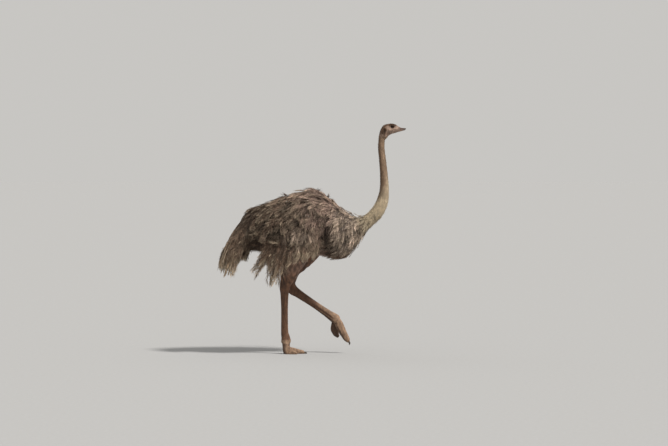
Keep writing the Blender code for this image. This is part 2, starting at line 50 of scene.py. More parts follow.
# --------------------------------------------------------------------- tables
# The body's sections, tail to bill: back x, back z, belly x, belly z, half width,
# then how deep the skin lies under the coat at the back, belly and sides.
TAIL_ROWS = (
    (-0.575, 0.640, -0.330, 0.650, 0.150, 0.03, 0.03, 0.03),
    (-0.540, 0.790, -0.310, 0.778, 0.158, 0.03, 0.03, 0.03),
    (-0.503, 0.880, -0.316, 0.808, 0.164, 0.03, 0.03, 0.03),
    (-0.448, 0.990, -0.310, 0.836, 0.163, 0.03, 0.03, 0.03),
    (-0.376, 1.104, -0.297, 0.854, 0.160, 0.03, 0.03, 0.03),
)
TRUNK_ROWS = (
    (-0.300, 1.192, -0.282, 0.868, 0.150, 0.034, 0.050, 0.034),
    (-0.132, 1.262, -0.160, 0.848, 0.190, 0.036, 0.022, 0.034),
    (0.033, 1.326, 0.010, 0.822, 0.226, 0.036, 0.012, 0.034),
    (0.150, 1.348, 0.170, 0.808, 0.240, 0.036, 0.008, 0.034),
    (0.239, 1.352, 0.300, 0.800, 0.236, 0.034, 0.006, 0.032),
    (0.321, 1.318, 0.415, 0.783, 0.220, 0.032, 0.005, 0.030),
    (0.403, 1.250, 0.505, 0.803, 0.194, 0.033, 0.006, 0.028),
    (0.485, 1.192, 0.578, 0.882, 0.156, 0.031, 0.014, 0.024),
    (0.592, 1.136, 0.642, 0.978, 0.100, 0.024, 0.014, 0.018),
)
NECK_ROWS = (
    (0.663, 1.164, 0.716, 1.056, 0.069, 0.015, 0.009, 0.011),
    (0.722, 1.224, 0.786, 1.128, 0.055, 0.007, 0.006, 0.006),
    (0.756, 1.300, 0.836, 1.235, 0.045, 0.005, 0.004, 0.0045),
    (0.770, 1.372, 0.847, 1.350, 0.040, 0.0040, 0.0030, 0.0035),
    (0.772, 1.475, 0.838, 1.470, 0.035, 0.0025, 0.0020, 0.0025),
    (0.765, 1.596, 0.823, 1.594, 0.030, 0.0015, 0.0015, 0.0015),
    (0.757, 1.690, 0.811, 1.687, 0.0265, 0.0012, 0.0010, 0.0010),
    (0.761, 1.768, 0.813, 1.755, 0.0255, 0.0012, 0.0008, 0.0008),
)
HEAD_ROWS = (
    (0.768, 1.810, 0.829, 1.777, 0.0270, 0.0012, 0.0006, 0.0006),
    (0.780, 1.848, 0.843, 1.795, 0.0300, 0.0012, 0.0006, 0.0006),
    (0.800, 1.878, 0.857, 1.805, 0.0345, 0.0012, 0.0006, 0.0006),
    (0.832, 1.891, 0.870, 1.811, 0.0375, 0.0012, 0.0006, 0.0006),
    (0.868, 1.894, 0.884, 1.815, 0.0385, 0.0010, 0.0006, 0.0006),
    (0.897, 1.888, 0.903, 1.820, 0.0335, 0.0008, 0.0004, 0.0004),
    (0.921, 1.873, 0.921, 1.825, 0.0285, 0.0004, 0.0003, 0.0003),
)
BODY_ROWS = TAIL_ROWS + TRUNK_ROWS + NECK_ROWS + HEAD_ROWS
TRUNK_START = len(TAIL_ROWS)
HEAD_START = TRUNK_START + len(TRUNK_ROWS) + len(NECK_ROWS)
# The flesh of the tail is a stub under the plumes.
STUB_ROWS = (
    (-0.388, 0.996, -0.380, 0.980, 0.010),
    (-0.382, 1.020, -0.364, 0.958, 0.042),
    (-0.354, 1.058, -0.332, 0.932, 0.076),
    (-0.318, 1.104, -0.304, 0.916, 0.100),
)

# Folded wing, front to rear: top x, top z, lower x, lower z
WING_ROWS = (
    (0.345, 1.120, 0.335, 0.985),
    (0.300, 1.190, 0.270, 0.925),
    (0.190, 1.242, 0.160, 0.890),
    (0.050, 1.228, 0.030, 0.880),
    (-0.090, 1.180, -0.100, 0.900),
    (-0.200, 1.115, -0.195, 0.935),
    (-0.262, 1.040, -0.245, 0.985),
)
# Plumes under the wing: share of its lower edge, tip x, tip z
PLUME_TIPS = {
    RIGHT: (
        (0.00, 0.292, 0.890), (0.14, 0.222, 0.800), (0.27, 0.130, 0.758),
        (0.33, 0.045, 0.735), (0.37, 0.000, 0.700), (0.44, -0.060, 0.600), (0.52, -0.085, 0.566),
        (0.60, -0.135, 0.620), (0.66, -0.165, 0.700), (0.74, -0.222, 0.662),
        (0.80, -0.262, 0.645), (0.87, -0.303, 0.640), (1.00, -0.214, 0.862)),
    LEFT: (
        (0.00, 0.300, 0.885), (0.14, 0.225, 0.800), (0.27, 0.130, 0.752),
        (0.39, 0.040, 0.730), (0.50, -0.040, 0.690), (0.63, -0.110, 0.680),
        (0.76, -0.165, 0.725), (0.88, -0.205, 0.800), (1.00, -0.230, 0.885)),
}

# Legs, thigh to toe joint: centre x, y, z, half depth fore and aft, half width
LEG_ROWS = {
    RIGHT: (
        (0.150, -0.110, 1.040, 0.060, 0.030), (0.142, -0.130, 0.990, 0.096, 0.068),
        (0.120, -0.142, 0.930, 0.112, 0.084), (0.080, -0.134, 0.835, 0.112, 0.080),
        (0.047, -0.120, 0.757, 0.096, 0.069), (0.031, -0.105, 0.695, 0.078, 0.056),
        (0.014, -0.088, 0.630, 0.060, 0.044), (-0.002, -0.073, 0.580, 0.047, 0.037),
        (-0.010, -0.064, 0.540, 0.042, 0.035), (-0.011, -0.055, 0.490, 0.033, 0.027),
        (-0.011, -0.042, 0.400, 0.0270, 0.0215), (-0.011, -0.026, 0.290, 0.0265, 0.0205),
        (-0.010, -0.012, 0.180, 0.0285, 0.0225), (-0.003, -0.007, 0.135, 0.0350, 0.0280),
        (0.000, -0.006, 0.100, 0.0395, 0.0325), (0.001, -0.006, 0.082, 0.0300, 0.0270)),
    LEFT: (
        (0.250, 0.110, 1.040, 0.060, 0.030), (0.240, 0.130, 0.990, 0.096, 0.068),
        (0.215, 0.142, 0.930, 0.120, 0.084), (0.158, 0.138, 0.840, 0.112, 0.080),
        (0.112, 0.130, 0.760, 0.086, 0.069), (0.078, 0.120, 0.695, 0.057, 0.054),
        (0.052, 0.112, 0.635, 0.043, 0.042), (0.036, 0.106, 0.580, 0.038, 0.036),
        (0.050, 0.102, 0.528, 0.043, 0.035), (0.105, 0.098, 0.488, 0.034, 0.028),
        (0.180, 0.094, 0.438, 0.0290, 0.0220), (0.260, 0.090, 0.384, 0.0280, 0.0210),
        (0.338, 0.086, 0.330, 0.0310, 0.0230), (0.382, 0.084, 0.299, 0.0370, 0.0280),
        (0.407, 0.083, 0.280, 0.0405, 0.0320), (0.419, 0.083, 0.264, 0.0320, 0.0270)),
}
# Standing toes: upper x, upper z, sole x, sole z, y, half width
INNER_TOE_STANDING = (
    (0.022, 0.104, -0.022, 0.104, 0.006, 0.0150),
    (0.031, 0.087, -0.031, 0.087, 0.008, 0.0230),
    (0.031, 0.062, -0.029, 0.055, 0.008, 0.0245),
    (0.036, 0.054, -0.025, 0.024, 0.009, 0.0260),
    (0.044, 0.052, -0.014, -0.004, 0.010, 0.0280),
    (0.060, 0.048, 0.015, -0.010, 0.011, 0.0295),
    (0.085, 0.041, 0.060, -0.010, 0.012, 0.0300),
    (0.112, 0.033, 0.100, -0.010, 0.012, 0.0290),
    (0.140, 0.026, 0.134, -0.010, 0.012, 0.0250),
    (0.1504, 0.018, 0.1502, -0.005, 0.012, 0.0160),
)
OUTER_TOE_STANDING = (
    (0.016, 0.102, -0.016, 0.102, -0.024, 0.0090),
    (0.023, 0.087, -0.023, 0.087, -0.030, 0.0130),
    (0.025, 0.060, -0.021, 0.052, -0.037, 0.0150),
    (0.031, 0.048, -0.014, 0.012, -0.045, 0.0170),
    (0.046, 0.038, 0.014, -0.010, -0.055, 0.0185),
    (0.070, 0.028, 0.056, -0.010, -0.065, 0.0175),
    (0.087, 0.021, 0.081, -0.008, -0.072, 0.0130),
    (0.093, 0.014, 0.092, -0.004, -0.075, 0.0080),
)
# Lifted toes and both claws: centre x, y, z, half depth, half width
INNER_TOE_LIFTED = (
    (0.404, 0.074, 0.2900, 0.0210, 0.0150), (0.414, 0.070, 0.2760, 0.0290, 0.0220),
    (0.436, 0.068, 0.2400, 0.0320, 0.0245), (0.452, 0.067, 0.2050, 0.0320, 0.0265),
    (0.470, 0.066, 0.1690, 0.0290, 0.0275), (0.489, 0.065, 0.1360, 0.0260, 0.0265),
    (0.507, 0.064, 0.1080, 0.0200, 0.0220), (0.517, 0.064, 0.0950, 0.0110, 0.0140),
)
OUTER_TOE_LIFTED = (
    (0.406, 0.1000, 0.2860, 0.0170, 0.0090), (0.408, 0.1060, 0.2720, 0.0250, 0.0130),
    (0.402, 0.1120, 0.2350, 0.0280, 0.0150), (0.398, 0.1180, 0.2000, 0.0300, 0.0165),
    (0.406, 0.1240, 0.1680, 0.0260, 0.0165), (0.421, 0.1290, 0.1440, 0.0190, 0.0145),
    (0.434, 0.1310, 0.1310, 0.0100, 0.0085),
)
CLAW_ROWS = {
    RIGHT: (
        (0.1440, 0.012, 0.0098, 0.0080, 0.0105), (0.158, 0.012, 0.0085, 0.0078, 0.0098),
        (0.166, 0.012, 0.0058, 0.0060, 0.0070), (0.173, 0.012, 0.0024, 0.0020, 0.0028)),
    LEFT: (
        (0.5130, 0.064, 0.1000, 0.0085, 0.0110), (0.5225, 0.064, 0.0860, 0.0075, 0.0095),
        (0.5230, 0.064, 0.0765, 0.0054, 0.0065), (0.5190, 0.064, 0.0660, 0.0014, 0.0020)),
}

GAPE_Z = 1.8475
# x, top or bottom z, half width
UPPER_BILL_ROWS = (
    (0.912, 1.8745, 0.0275), (0.921, 1.8725, 0.0278), (0.938, 1.862, 0.0262),
    (0.956, 1.858, 0.0238), (0.972, 1.857, 0.0205), (0.983, 1.855, 0.0150),
    (0.987, 1.851, 0.0080),
)
LOWER_BILL_ROWS = (
    (0.912, 1.8245, 0.0270), (0.921, 1.8255, 0.0272), (0.938, 1.829, 0.0240),
    (0.956, 1.834, 0.0215), (0.970, 1.838, 0.0180), (0.979, 1.8415, 0.0125),
    (0.982, 1.8445, 0.0065),
)
EYE = np.array((0.874, 0.0235, 1.8685))
EYE_RADIUS = 0.0168
EYE_TILT = math.radians(-9.0)
EAR = np.array((0.821, 0.0335, 1.846))


def srgb(red, green, blue):
    """A colour of 0 to 255 steps as linear light."""
    value = np.array((red, green, blue)) / 255.0
    return np.where(value <= 0.04045, value / 12.92, ((value + 0.055) / 1.055) ** 2.4)


# ---------------------------------------------------------------- small tools
def unit(vectors):
    return vectors / np.maximum(np.linalg.norm(vectors, axis=-1, keepdims=True), 1e-9)


def ramp(low, high, value):
    """0 below low, 1 above high, smooth between; works downwards too."""
    share = np.clip((value - low) / (high - low), 0.0, 1.0)
    return share * share * (3.0 - 2.0 * share)


def bell(value, middle, width):
    """1 at the middle, fading out over about width on both sides."""
    return np.exp(-((value - middle) / width) ** 2)


def spot_at(x, z, middle, size, turn=0.0):
    """1 in the middle of an oval spot in side view, fading outwards."""
    dx, dz = x - middle[0], z - middle[1]
    across = dx * math.cos(turn) + dz * math.sin(turn)
    upwards = dz * math.cos(turn) - dx * math.sin(turn)
    return np.exp(-(across / size[0]) ** 2 - (upwards / size[1]) ** 2)


def band(value, low, high, soft):
    """1 between two limits, fading out over soft beyond each."""
    return ramp(low - soft, low, value) * ramp(high + soft, high, value)


def mix(first, second, share):
    """Blend rows of first towards second, by one share for each row."""
    share = np.asarray(share)[..., None]
    return first * (1.0 - share) + second * share


WAVES = np.random.default_rng(41).normal(size=(4, 24, 3))
WAVE_STARTS = np.random.default_rng(42).uniform(0.0, 6.28, (4, 24))


def drift(points, size, layer=0):
    """Smooth noise of about unit spread, its lumps about size metres across."""
    turns = points @ (unit(WAVES[layer]).T * (3.0 / size)) * np.linspace(0.6, 1.5, 24)
    return np.sin(turns + WAVE_STARTS[layer]).sum(-1) / math.sqrt(12.0)


def spline(rows, places):
    """Catmull-Rom rows at fractional row numbers."""
    rows = np.asarray(rows, float)
    last = len(rows) - 1
    index = np.clip(places.astype(int), 0, last - 1)
    t = (places - index)[:, None]
    a, b = rows[np.maximum(index - 1, 0)], rows[index]
    c, d = rows[index + 1], rows[np.minimum(index + 2, last)]
    return 0.5 * (2 * b + (c - a) * t + (2 * a - 5 * b + 4 * c - d) * t ** 2
                  + (3 * b - a - 3 * c + d) * t ** 3)


def powered(values, power):
    return np.sign(values) * np.abs(values) ** power


def even(value):
    """The same value at every place."""
    return lambda points: np.full(len(points), value)


def even_places(path, spacing):
    """Fractional row numbers about spacing metres apart on a path of (x, z) rows."""
    last = len(path) - 1
    dense = np.linspace(0, last, 40 * last + 1)
    steps = np.linalg.norm(np.diff(spline(path, dense), axis=0), axis=1)
    spacing = np.broadcast_to(spacing, len(path))
    gaps = np.interp((dense[1:] + dense[:-1]) / 2, np.arange(len(path)), spacing)
    count = np.concatenate(((0.0,), np.cumsum(steps / gaps)))
    return np.interp(np.linspace(0, count[-1], int(count[-1]) + 1), count, dense)


def link(name, data):
    """A new object with this data, in the scene."""
    thing = bpy.data.objects.new(name, data)
    bpy.context.scene.collection.objects.link(thing)
    return thing


def grid_object(name, rings):
    """A closed mesh object through rings of equal count, capped with fans."""
    rings = np.asarray(rings)
    many, sides = rings.shape[:2]
    index = np.arange(many * sides).reshape(many, sides)
    following = np.roll(index, -1, axis=1)
    quads = np.stack((index[:-1], following[:-1], following[1:], index[1:]), -1).reshape(-1, 4)
    points = np.concatenate((rings.reshape(-1, 3), rings[:1].mean(1), rings[-1:].mean(1)))
    first, last = many * sides, many * sides + 1
    fans = [(following[0, i], index[0, i], first) for i in range(sides)]
    fans += [(index[-1, i], following[-1, i], last) for i in range(sides)]
    mesh = bpy.data.meshes.new(name)
    mesh.from_pydata(points.tolist(), [], quads.tolist() + [tuple(map(int, f)) for f in fans])
    bm = bmesh.new()
    bm.from_mesh(mesh)
    bmesh.ops.recalc_face_normals(bm, faces=bm.faces)
    if bm.calc_volume(signed=True) < 0.0:
        bmesh.ops.reverse_faces(bm, faces=bm.faces)
    bm.to_mesh(mesh)
    bm.free()
    mesh.shade_smooth()
    return link(name, mesh)


def read(elements, name, width=3, kind=float):
    """One property of all elements of a mesh, a row for each."""
    values = np.zeros(len(elements) * width, kind)
    elements.foreach_get(name, values)
    return values.reshape(-1, width)


def coordinates(mesh):
    return read(mesh.vertices, "co")


def set_coordinates(mesh, points):
    mesh.vertices.foreach_set("co", np.ascontiguousarray(points, dtype=np.float32).ravel())
    mesh.update()


def vertex_normals(mesh):
    return read(mesh.vertex_normals, "vector")


# ------------------------------------------------------------------ body shape
SKIN_SIDES = 128
# The sheet that body feathers lie on has this many rings, and points in each.
BODY_RINGS = 520
BODY_SIDES = 256


def full_turn(sides):
    """Angles round a section, from 0."""
    return np.arange(sides) * 2 * math.pi / sides


def half_turns(sides):
    """Angles round a section that starts in front, none of them over half a turn."""
    return np.mod(full_turn(sides) + math.pi, 2 * math.pi) - math.pi


def body_sections(rows, squares, angles):
    """Sections of the body: angle 0 is the back, a quarter turn its left side."""
    rows = np.asarray(rows)
    back = np.stack((rows[:, 0], 0 * rows[:, 0], rows[:, 1]), -1)[:, None]
    belly = np.stack((rows[:, 2], 0 * rows[:, 0], rows[:, 3]), -1)[:, None]
    power = (2.0 / np.asarray(squares))[:, None]
    along = powered(np.cos(angles)[None], power)[..., None]
    across = powered(np.sin(angles)[None], power)[..., None]
    width = rows[:, 4][:, None, None] * np.array((0.0, 1.0, 0.0))
    return (back + belly) / 2 + (back - belly) / 2 * along + width * across


def square_at(places, head_start):
    return 2.0 + 0.3 * ramp(head_start - 1.0, head_start + 1.0, places)


def skin_rows():
    """Body rows drawn in by the coat's depth, with the stub in place of the tail."""
    rows = []
    for bx, bz, lx, lz, width, back_in, belly_in, side_in in BODY_ROWS[TRUNK_START:]:
        back, belly = np.array((bx, bz)), np.array((lx, lz))
        down = (belly - back) / np.linalg.norm(belly - back)
        back = back + down * back_in
        belly = belly - down * belly_in
        rows.append((*back, *belly, width - side_in))
    return list(STUB_ROWS) + rows


class Surface:
    """A smooth sheet of points that feathers can be laid along."""

    def __init__(self, points, closed, outward=1.0):
        self.points, self.closed = points, closed
        along = np.gradient(points, axis=0)
        if closed:
            across = (np.roll(points, -1, 1) - np.roll(points, 1, 1)) / 2
        else:
            across = np.gradient(points, axis=1)
        normal = unit(np.cross(along, across)) * outward
        self.stack = np.concatenate((points, normal, along, across), -1)

    def at(self, u, v):
        """Point, normal and the steps along and across, at fractional indices."""
        rows, columns = self.points.shape[:2]
        u = np.clip(u, 0.0, rows - 1.001)
        i = u.astype(int)
        fu = (u - i)[:, None]
        if self.closed:
            v = np.mod(v, columns)
            j = np.minimum(v.astype(int), columns - 1)
            following = (j + 1) % columns
        else:
            v = np.clip(v, 0.0, columns - 1.001)
            j = v.astype(int)
            following = j + 1
        fv = (v - j)[:, None]
        data = self.stack
        found = ((data[i, j] * (1 - fv) + data[i, following] * fv) * (1 - fu)
                 + (data[i + 1, j] * (1 - fv) + data[i + 1, following] * fv) * fu)
        return found[:, :3], unit(found[:, 3:6]), found[:, 6:9], found[:, 9:]

    def lay(self, u, v, wish, length, steps, sag, bend, heights):
        """Centrelines of feathers that lie along the sheet, from (u, v) towards wish.

        They turn down by sag and sideways by bend; heights is how far each of the
        steps + 1 points stands off the sheet.
        Returns points and normals, (feathers, steps + 1, 3) each."""
        centres, normals = [], []
        for step in range(steps + 1):
            point, normal, along, across = self.at(u, v)
            centres.append(point + normal * heights[:, step, None])
            normals.append(normal)
            heading = wish + DOWN * (sag * step / steps)
            heading = heading + np.cross(normal, wish) * (bend * step / steps)[:, None]
            heading = unit(heading - normal * (heading * normal).sum(1, keepdims=True))
            aa, bb = (along * along).sum(1), (across * across).sum(1)
            ab = (along * across).sum(1)
            ha, hb = (heading * along).sum(1), (heading * across).sum(1)
            whole = np.maximum(aa * bb - ab * ab, 1e-12)
            u = u + (ha * bb - hb * ab) / whole * length / steps
            v = v + (hb * aa - ha * ab) / whole * length / steps
        return np.stack(centres, 1), np.stack(normals, 1)

    def scatter(self, spacing, keep, seed, tries=14):
        """Roots at least spacing(points) apart where keep(points, normals) is over a
        random number; returns u, v."""
        rng = np.random.default_rng(seed)
        area = np.linalg.norm(np.cross(self.stack[..., 6:9], self.stack[..., 9:]), axis=-1)
        chance = np.cumsum(area.ravel())
        gap = spacing(self.points.reshape(-1, 3)).reshape(area.shape)
        wanted = int((area / gap ** 2).sum() * tries)
        found = np.searchsorted(chance, rng.uniform(0, chance[-1], wanted))
        columns = area.shape[1]
        u = found // columns + rng.uniform(-0.5, 0.5, wanted)
        v = found % columns + rng.uniform(-0.5, 0.5, wanted)
        points, normals = self.at(u, v)[:2]
        kept = keep(points, normals) > rng.uniform(0, 1, wanted)
        u, v, points = u[kept], v[kept], points[kept]
        gaps = spacing(points)
        cell = float(gaps.max())
        cells = np.floor(points / cell).astype(int)
        filled, chosen = {}, []
        neighbours = [(a, b, c) for a in (-1, 0, 1) for b in (-1, 0, 1) for c in (-1, 0, 1)]
        for index in range(len(points)):
            x, y, z = cells[index]
            p, g = points[index], gaps[index] ** 2
            free = True
            for a, b, c in neighbours:
                for q in filled.get((x + a, y + b, z + c), ()):
                    if (p[0] - q[0]) ** 2 + (p[1] - q[1]) ** 2 + (p[2] - q[2]) ** 2 < g:
                        free = False
                        break
                if not free:
                    break
            if free:
                filled.setdefault((x, y, z), []).append(p)
                chosen.append(index)
        return u[chosen], v[chosen]


body_places = np.linspace(0, len(BODY_ROWS) - 1, BODY_RINGS)
body = Surface(body_sections(spline(BODY_ROWS, body_places), square_at(body_places, HEAD_START),
                             full_turn(BODY_SIDES)), True)


def body_row_at(u):
    """Row number of a place along the body surface."""
    return u * (len(BODY_ROWS) - 1) / (BODY_RINGS - 1)


# ----------------------------------------------------------------- wing sheets
def side_tree(names):
    """One search tree over several CAD nodes."""
    points, faces = [], []
    for name in names:
        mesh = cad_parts[name].data
        start = len(points)
        points += [tuple(v.co) for v in mesh.vertices]
        faces += [[start + i for i in p.vertices] for p in mesh.polygons]
    return BVHTree.FromPolygons(points, faces)


def side_y(tree, x, z, side, otherwise):
    """Outermost y of the CAD at (x, z) on that side."""
    found = np.full(x.shape, np.nan)
    for place in np.ndindex(x.shape):
        hit = tree.ray_cast(Vector((x[place], side * 0.6, z[place])), Vector((0, -side, 0)))[0]
        if hit is not None and hit.y * side > 0.05:
            found[place] = hit.y
    return np.where(np.isnan(found), otherwise, found)


def smooth_grid(values, times):
    for _ in range(times):
        padded = np.pad(values, 1, mode="edge")
        values = (padded[:-2, 1:-1] + padded[2:, 1:-1] + padded[1:-1, :-2]
                  + padded[1:-1, 2:] + 4 * values) / 8
    return values


def wing_sheet(side):
    """The wing's outer side from above its upper edge to its lower edge."""
    name = "right" if side == RIGHT else "left"
    tree = side_tree(("wing_" + name, "trunk", "wing_plumes_" + name))
    rows = spline(WING_ROWS, np.linspace(0, len(WING_ROWS) - 1, 60))
    down = np.linspace(-0.12, 1.0, 36)
    x = rows[:, :1] * (1 - down) + rows[:, 2:3] * down
    z = rows[:, 1:2] * (1 - down) + rows[:, 3:4] * down
    y = smooth_grid(side_y(tree, x, z, side, side * 0.2), 10)
    return Surface(np.stack((x, y, z), -1), False, -side * 1.0)


# --------------------------------------------------------------------- skin
def tube_sections(rows, places, sides, square=2.0):
    """Sections square to a path of centre and half-thickness rows; angle 0 is front."""
    found = spline(rows, places)
    along = unit(np.gradient(found[:, :3], axis=0))
    across = unit(np.array((0.0, 1.0, 0.0)) - along * along[:, 1:2])
    depth = np.cross(along, across)
    angles = full_turn(sides)
    first = powered(np.cos(angles), 2.0 / square)[None, :, None]
    second = powered(np.sin(angles), 2.0 / square)[None, :, None]
    return (found[:, None, :3] + depth[:, None] * found[:, 3][:, None, None] * first
            + across[:, None] * found[:, 4][:, None, None] * second)


def scutes(share, angle, count, from_share, to_share, half_turn, depth):
    """Plates across the front of a leg or toe: how far each point stands out."""
    place = np.mod((share - from_share) / (to_share - from_share) * count, 1.0)
    plate = ramp(0.0, 0.22, place) * (1.0 - 0.45 * place)
    inside = ramp(0.0, 0.04, share - from_share) * ramp(0.0, 0.04, to_share - share)
    front = ramp(half_turn + 0.20, half_turn, np.abs(angle))
    return depth * (plate - 0.35) * inside * front


def raised(rings, stand):
    """Rings with every point moved away from the middle of its ring."""
    return rings + unit(rings - rings.mean(1, keepdims=True)) * stand[..., None]


def leg_object(side):
    rows = LEG_ROWS[side]
    sides = 56
    # wide rings on the thigh, close ones on the drumstick, the closest from the hock down
    spacing = [0.010] * 3 + [0.006] * 5 + [0.0035] * 8
    places = even_places([(r[0], r[2]) for r in rows], spacing)
    rings = tube_sections(rows, places, sides, 2.15)
    angle = half_turns(sides)
    around, last = np.abs(angle), len(rows) - 1
    share = (places / last)[:, None]

    def between(start, full, less, end):
        """1 on the rows from full to less, fading out towards start and end."""
        return ramp(start / last, full / last, share) * ramp(end / last, less / last, share)

    # shank: plates down the front, a tendon cord behind, dents beside it
    stand = scutes(share, angle, 30, 9.2 / last, 14.4 / last, 0.95, 0.0024)
    shank = between(8.6, 9.6, 12.2, 13.2)
    stand = stand + shank * 0.0022 * bell(around, math.pi, 0.45)
    stand = stand - shank * 0.0024 * bell(around, 2.1, 0.36)
    # hock: two knuckles and a heel tendon
    hock = bell(share, 8.2 / last, 0.035)
    stand = stand + hock * 0.0040 * bell(around, 1.45, 0.4)
    stand = stand - hock * 0.0030 * bell(around, 2.4, 0.3)
    # drumstick: tendons draw in above the hock
    stand = stand - between(5.0, 6.6, 7.4, 8.2) * 0.0040 * bell(around, 2.3, 0.38)
    thigh = between(2.0, 3.0, 5.0, 6.5)
    stand = stand + thigh * 0.0035 * np.sin(3.0 * angle + 9.0 * share)
    # creases ring the hock, and fine folds run down the thigh
    ripples = np.sin(share * 420.0 + 1.2 * np.sin(2.0 * angle)) * ramp(2.9, 2.2, around)
    stand = stand + bell(share, 8.2 / last, 0.045) * 0.0008 * ripples
    folds = drift(rings.reshape(-1, 3) * (1.0, 1.0, 0.45), 0.022, 1).reshape(rings.shape[:2])
    stand = stand + between(1.5, 3.0, 5.5, 8.0) * 0.0020 * folds
    return grid_object("leg", raised(rings, stand))


def toe_stand(share, angle, count, depth):
    """Plates on a toe's upper side and pads under it."""
    stand = scutes(share, angle, count, 0.12, 0.97, 1.30, depth)
    beside = bell(np.abs(angle), 1.55, 0.28) * ramp(0.2, 0.35, share)
    pads = ramp(1.9, 2.5, np.abs(angle)) * ramp(0.15, 0.3, share)
    return stand - 0.0016 * beside + pads * 0.0016 * np.abs(np.sin(4.6 * math.pi * share))


def toe_object(rows, count, depth):
    """A toe: standing ones have rows of upper side and sole, lifted ones of a middle line."""
    standing = len(rows[0]) == 6
    path = [((r[0] + r[2]) / 2, (r[1] + r[3]) / 2) if standing else (r[0], r[2]) for r in rows]
    places = even_places(path, 0.0022)
    sides = 44
    angles = half_turns(sides)
    if standing:
        found = spline(rows, places)
        upper, sole = found[:, None, (0, 4, 1)], found[:, None, (2, 4, 3)]
        first, second = np.cos(angles)[None, :, None], np.sin(angles)[None, :, None]
        width = found[:, 5][:, None, None] * np.array((0.0, 1.0, 0.0))
        rings = (upper + sole) / 2 + (upper - sole) / 2 * first + width * powered(second, 0.85)
    else:
        rings = tube_sections(rows, places, sides)
    share = (places / (len(rows) - 1))[:, None]
    rings = raised(rings, toe_stand(share, angles, count, depth))
    rings[..., 2] = np.maximum(rings[..., 2], 0.0)
    return grid_object("toe", rings)


def wing_arm(sheet):
    """The folded arm under the coverts, a low ridge along the flank."""
    u = np.linspace(4, 52, 30)
    v = np.interp(u, (4, 20, 52), (12, 15, 17))
    point, normal = sheet.at(u, v)[:2]
    thick = np.interp(u, (4, 12, 30, 52), (0.018, 0.034, 0.028, 0.012))
    centre = point - normal * 0.054
    rows = np.concatenate((centre, (thick * 1.6)[:, None], (thick * 0.62)[:, None]), 1)
    return grid_object("arm", tube_sections(rows, np.arange(30.0), 28))


def corners(mesh):
    """The mesh's points, rounded, to tell old ones from new."""
    return [tuple(np.round(p, 6)) for p in coordinates(mesh).astype(np.float32).tolist()]


def union(target, others, reach):
    """Join closed meshes into the target, and smooth where they meet."""
    for other in others:
        known = {*corners(target.data), *corners(other.data)}
        tool = target.modifiers.new("join", "BOOLEAN")
        tool.operation, tool.solver, tool.object = "UNION", "EXACT", other
        graph = bpy.context.evaluated_depsgraph_get()
        mesh = bpy.data.meshes.new_from_object(target.evaluated_get(graph))
        target.modifiers.clear()
        target.data = mesh
        bpy.data.objects.remove(other)
        fresh = np.array([corner not in known for corner in corners(mesh)])
        soften(mesh, coordinates(mesh)[fresh], reach)


def soften(mesh, near, reach, times=40):
    """Smooth the mesh within reach of the given points."""
    points = coordinates(mesh)
    tree = kdtree.KDTree(len(near))
    for index, point in enumerate(near):
        tree.insert(point, index)
    tree.balance()
    box_low, box_high = near.min(0) - reach, near.max(0) + reach
    close = np.all((points > box_low) & (points < box_high), axis=1)
    weight = np.zeros(len(points))
    for index in np.nonzero(close)[0]:
        weight[index] = 1.0 - min(tree.find(points[index])[2] / reach, 1.0)
    weight = (weight * weight * (3 - 2 * weight))[:, None]
    edges = read(mesh.edges, "vertices", 2, int)
    edges = edges[(weight[edges[:, 0], 0] > 0) | (weight[edges[:, 1], 0] > 0)]
    both = np.concatenate((edges, edges[:, ::-1]))
    count = np.maximum(np.bincount(both[:, 0], minlength=len(points)), 1)[:, None]
    for _ in range(times):
        total = np.stack([np.bincount(both[:, 0], points[both[:, 1], axis], len(points))
                          for axis in range(3)], -1)
        points = points + weight * 0.6 * (total / count - points)
    set_coordinates(mesh, points)


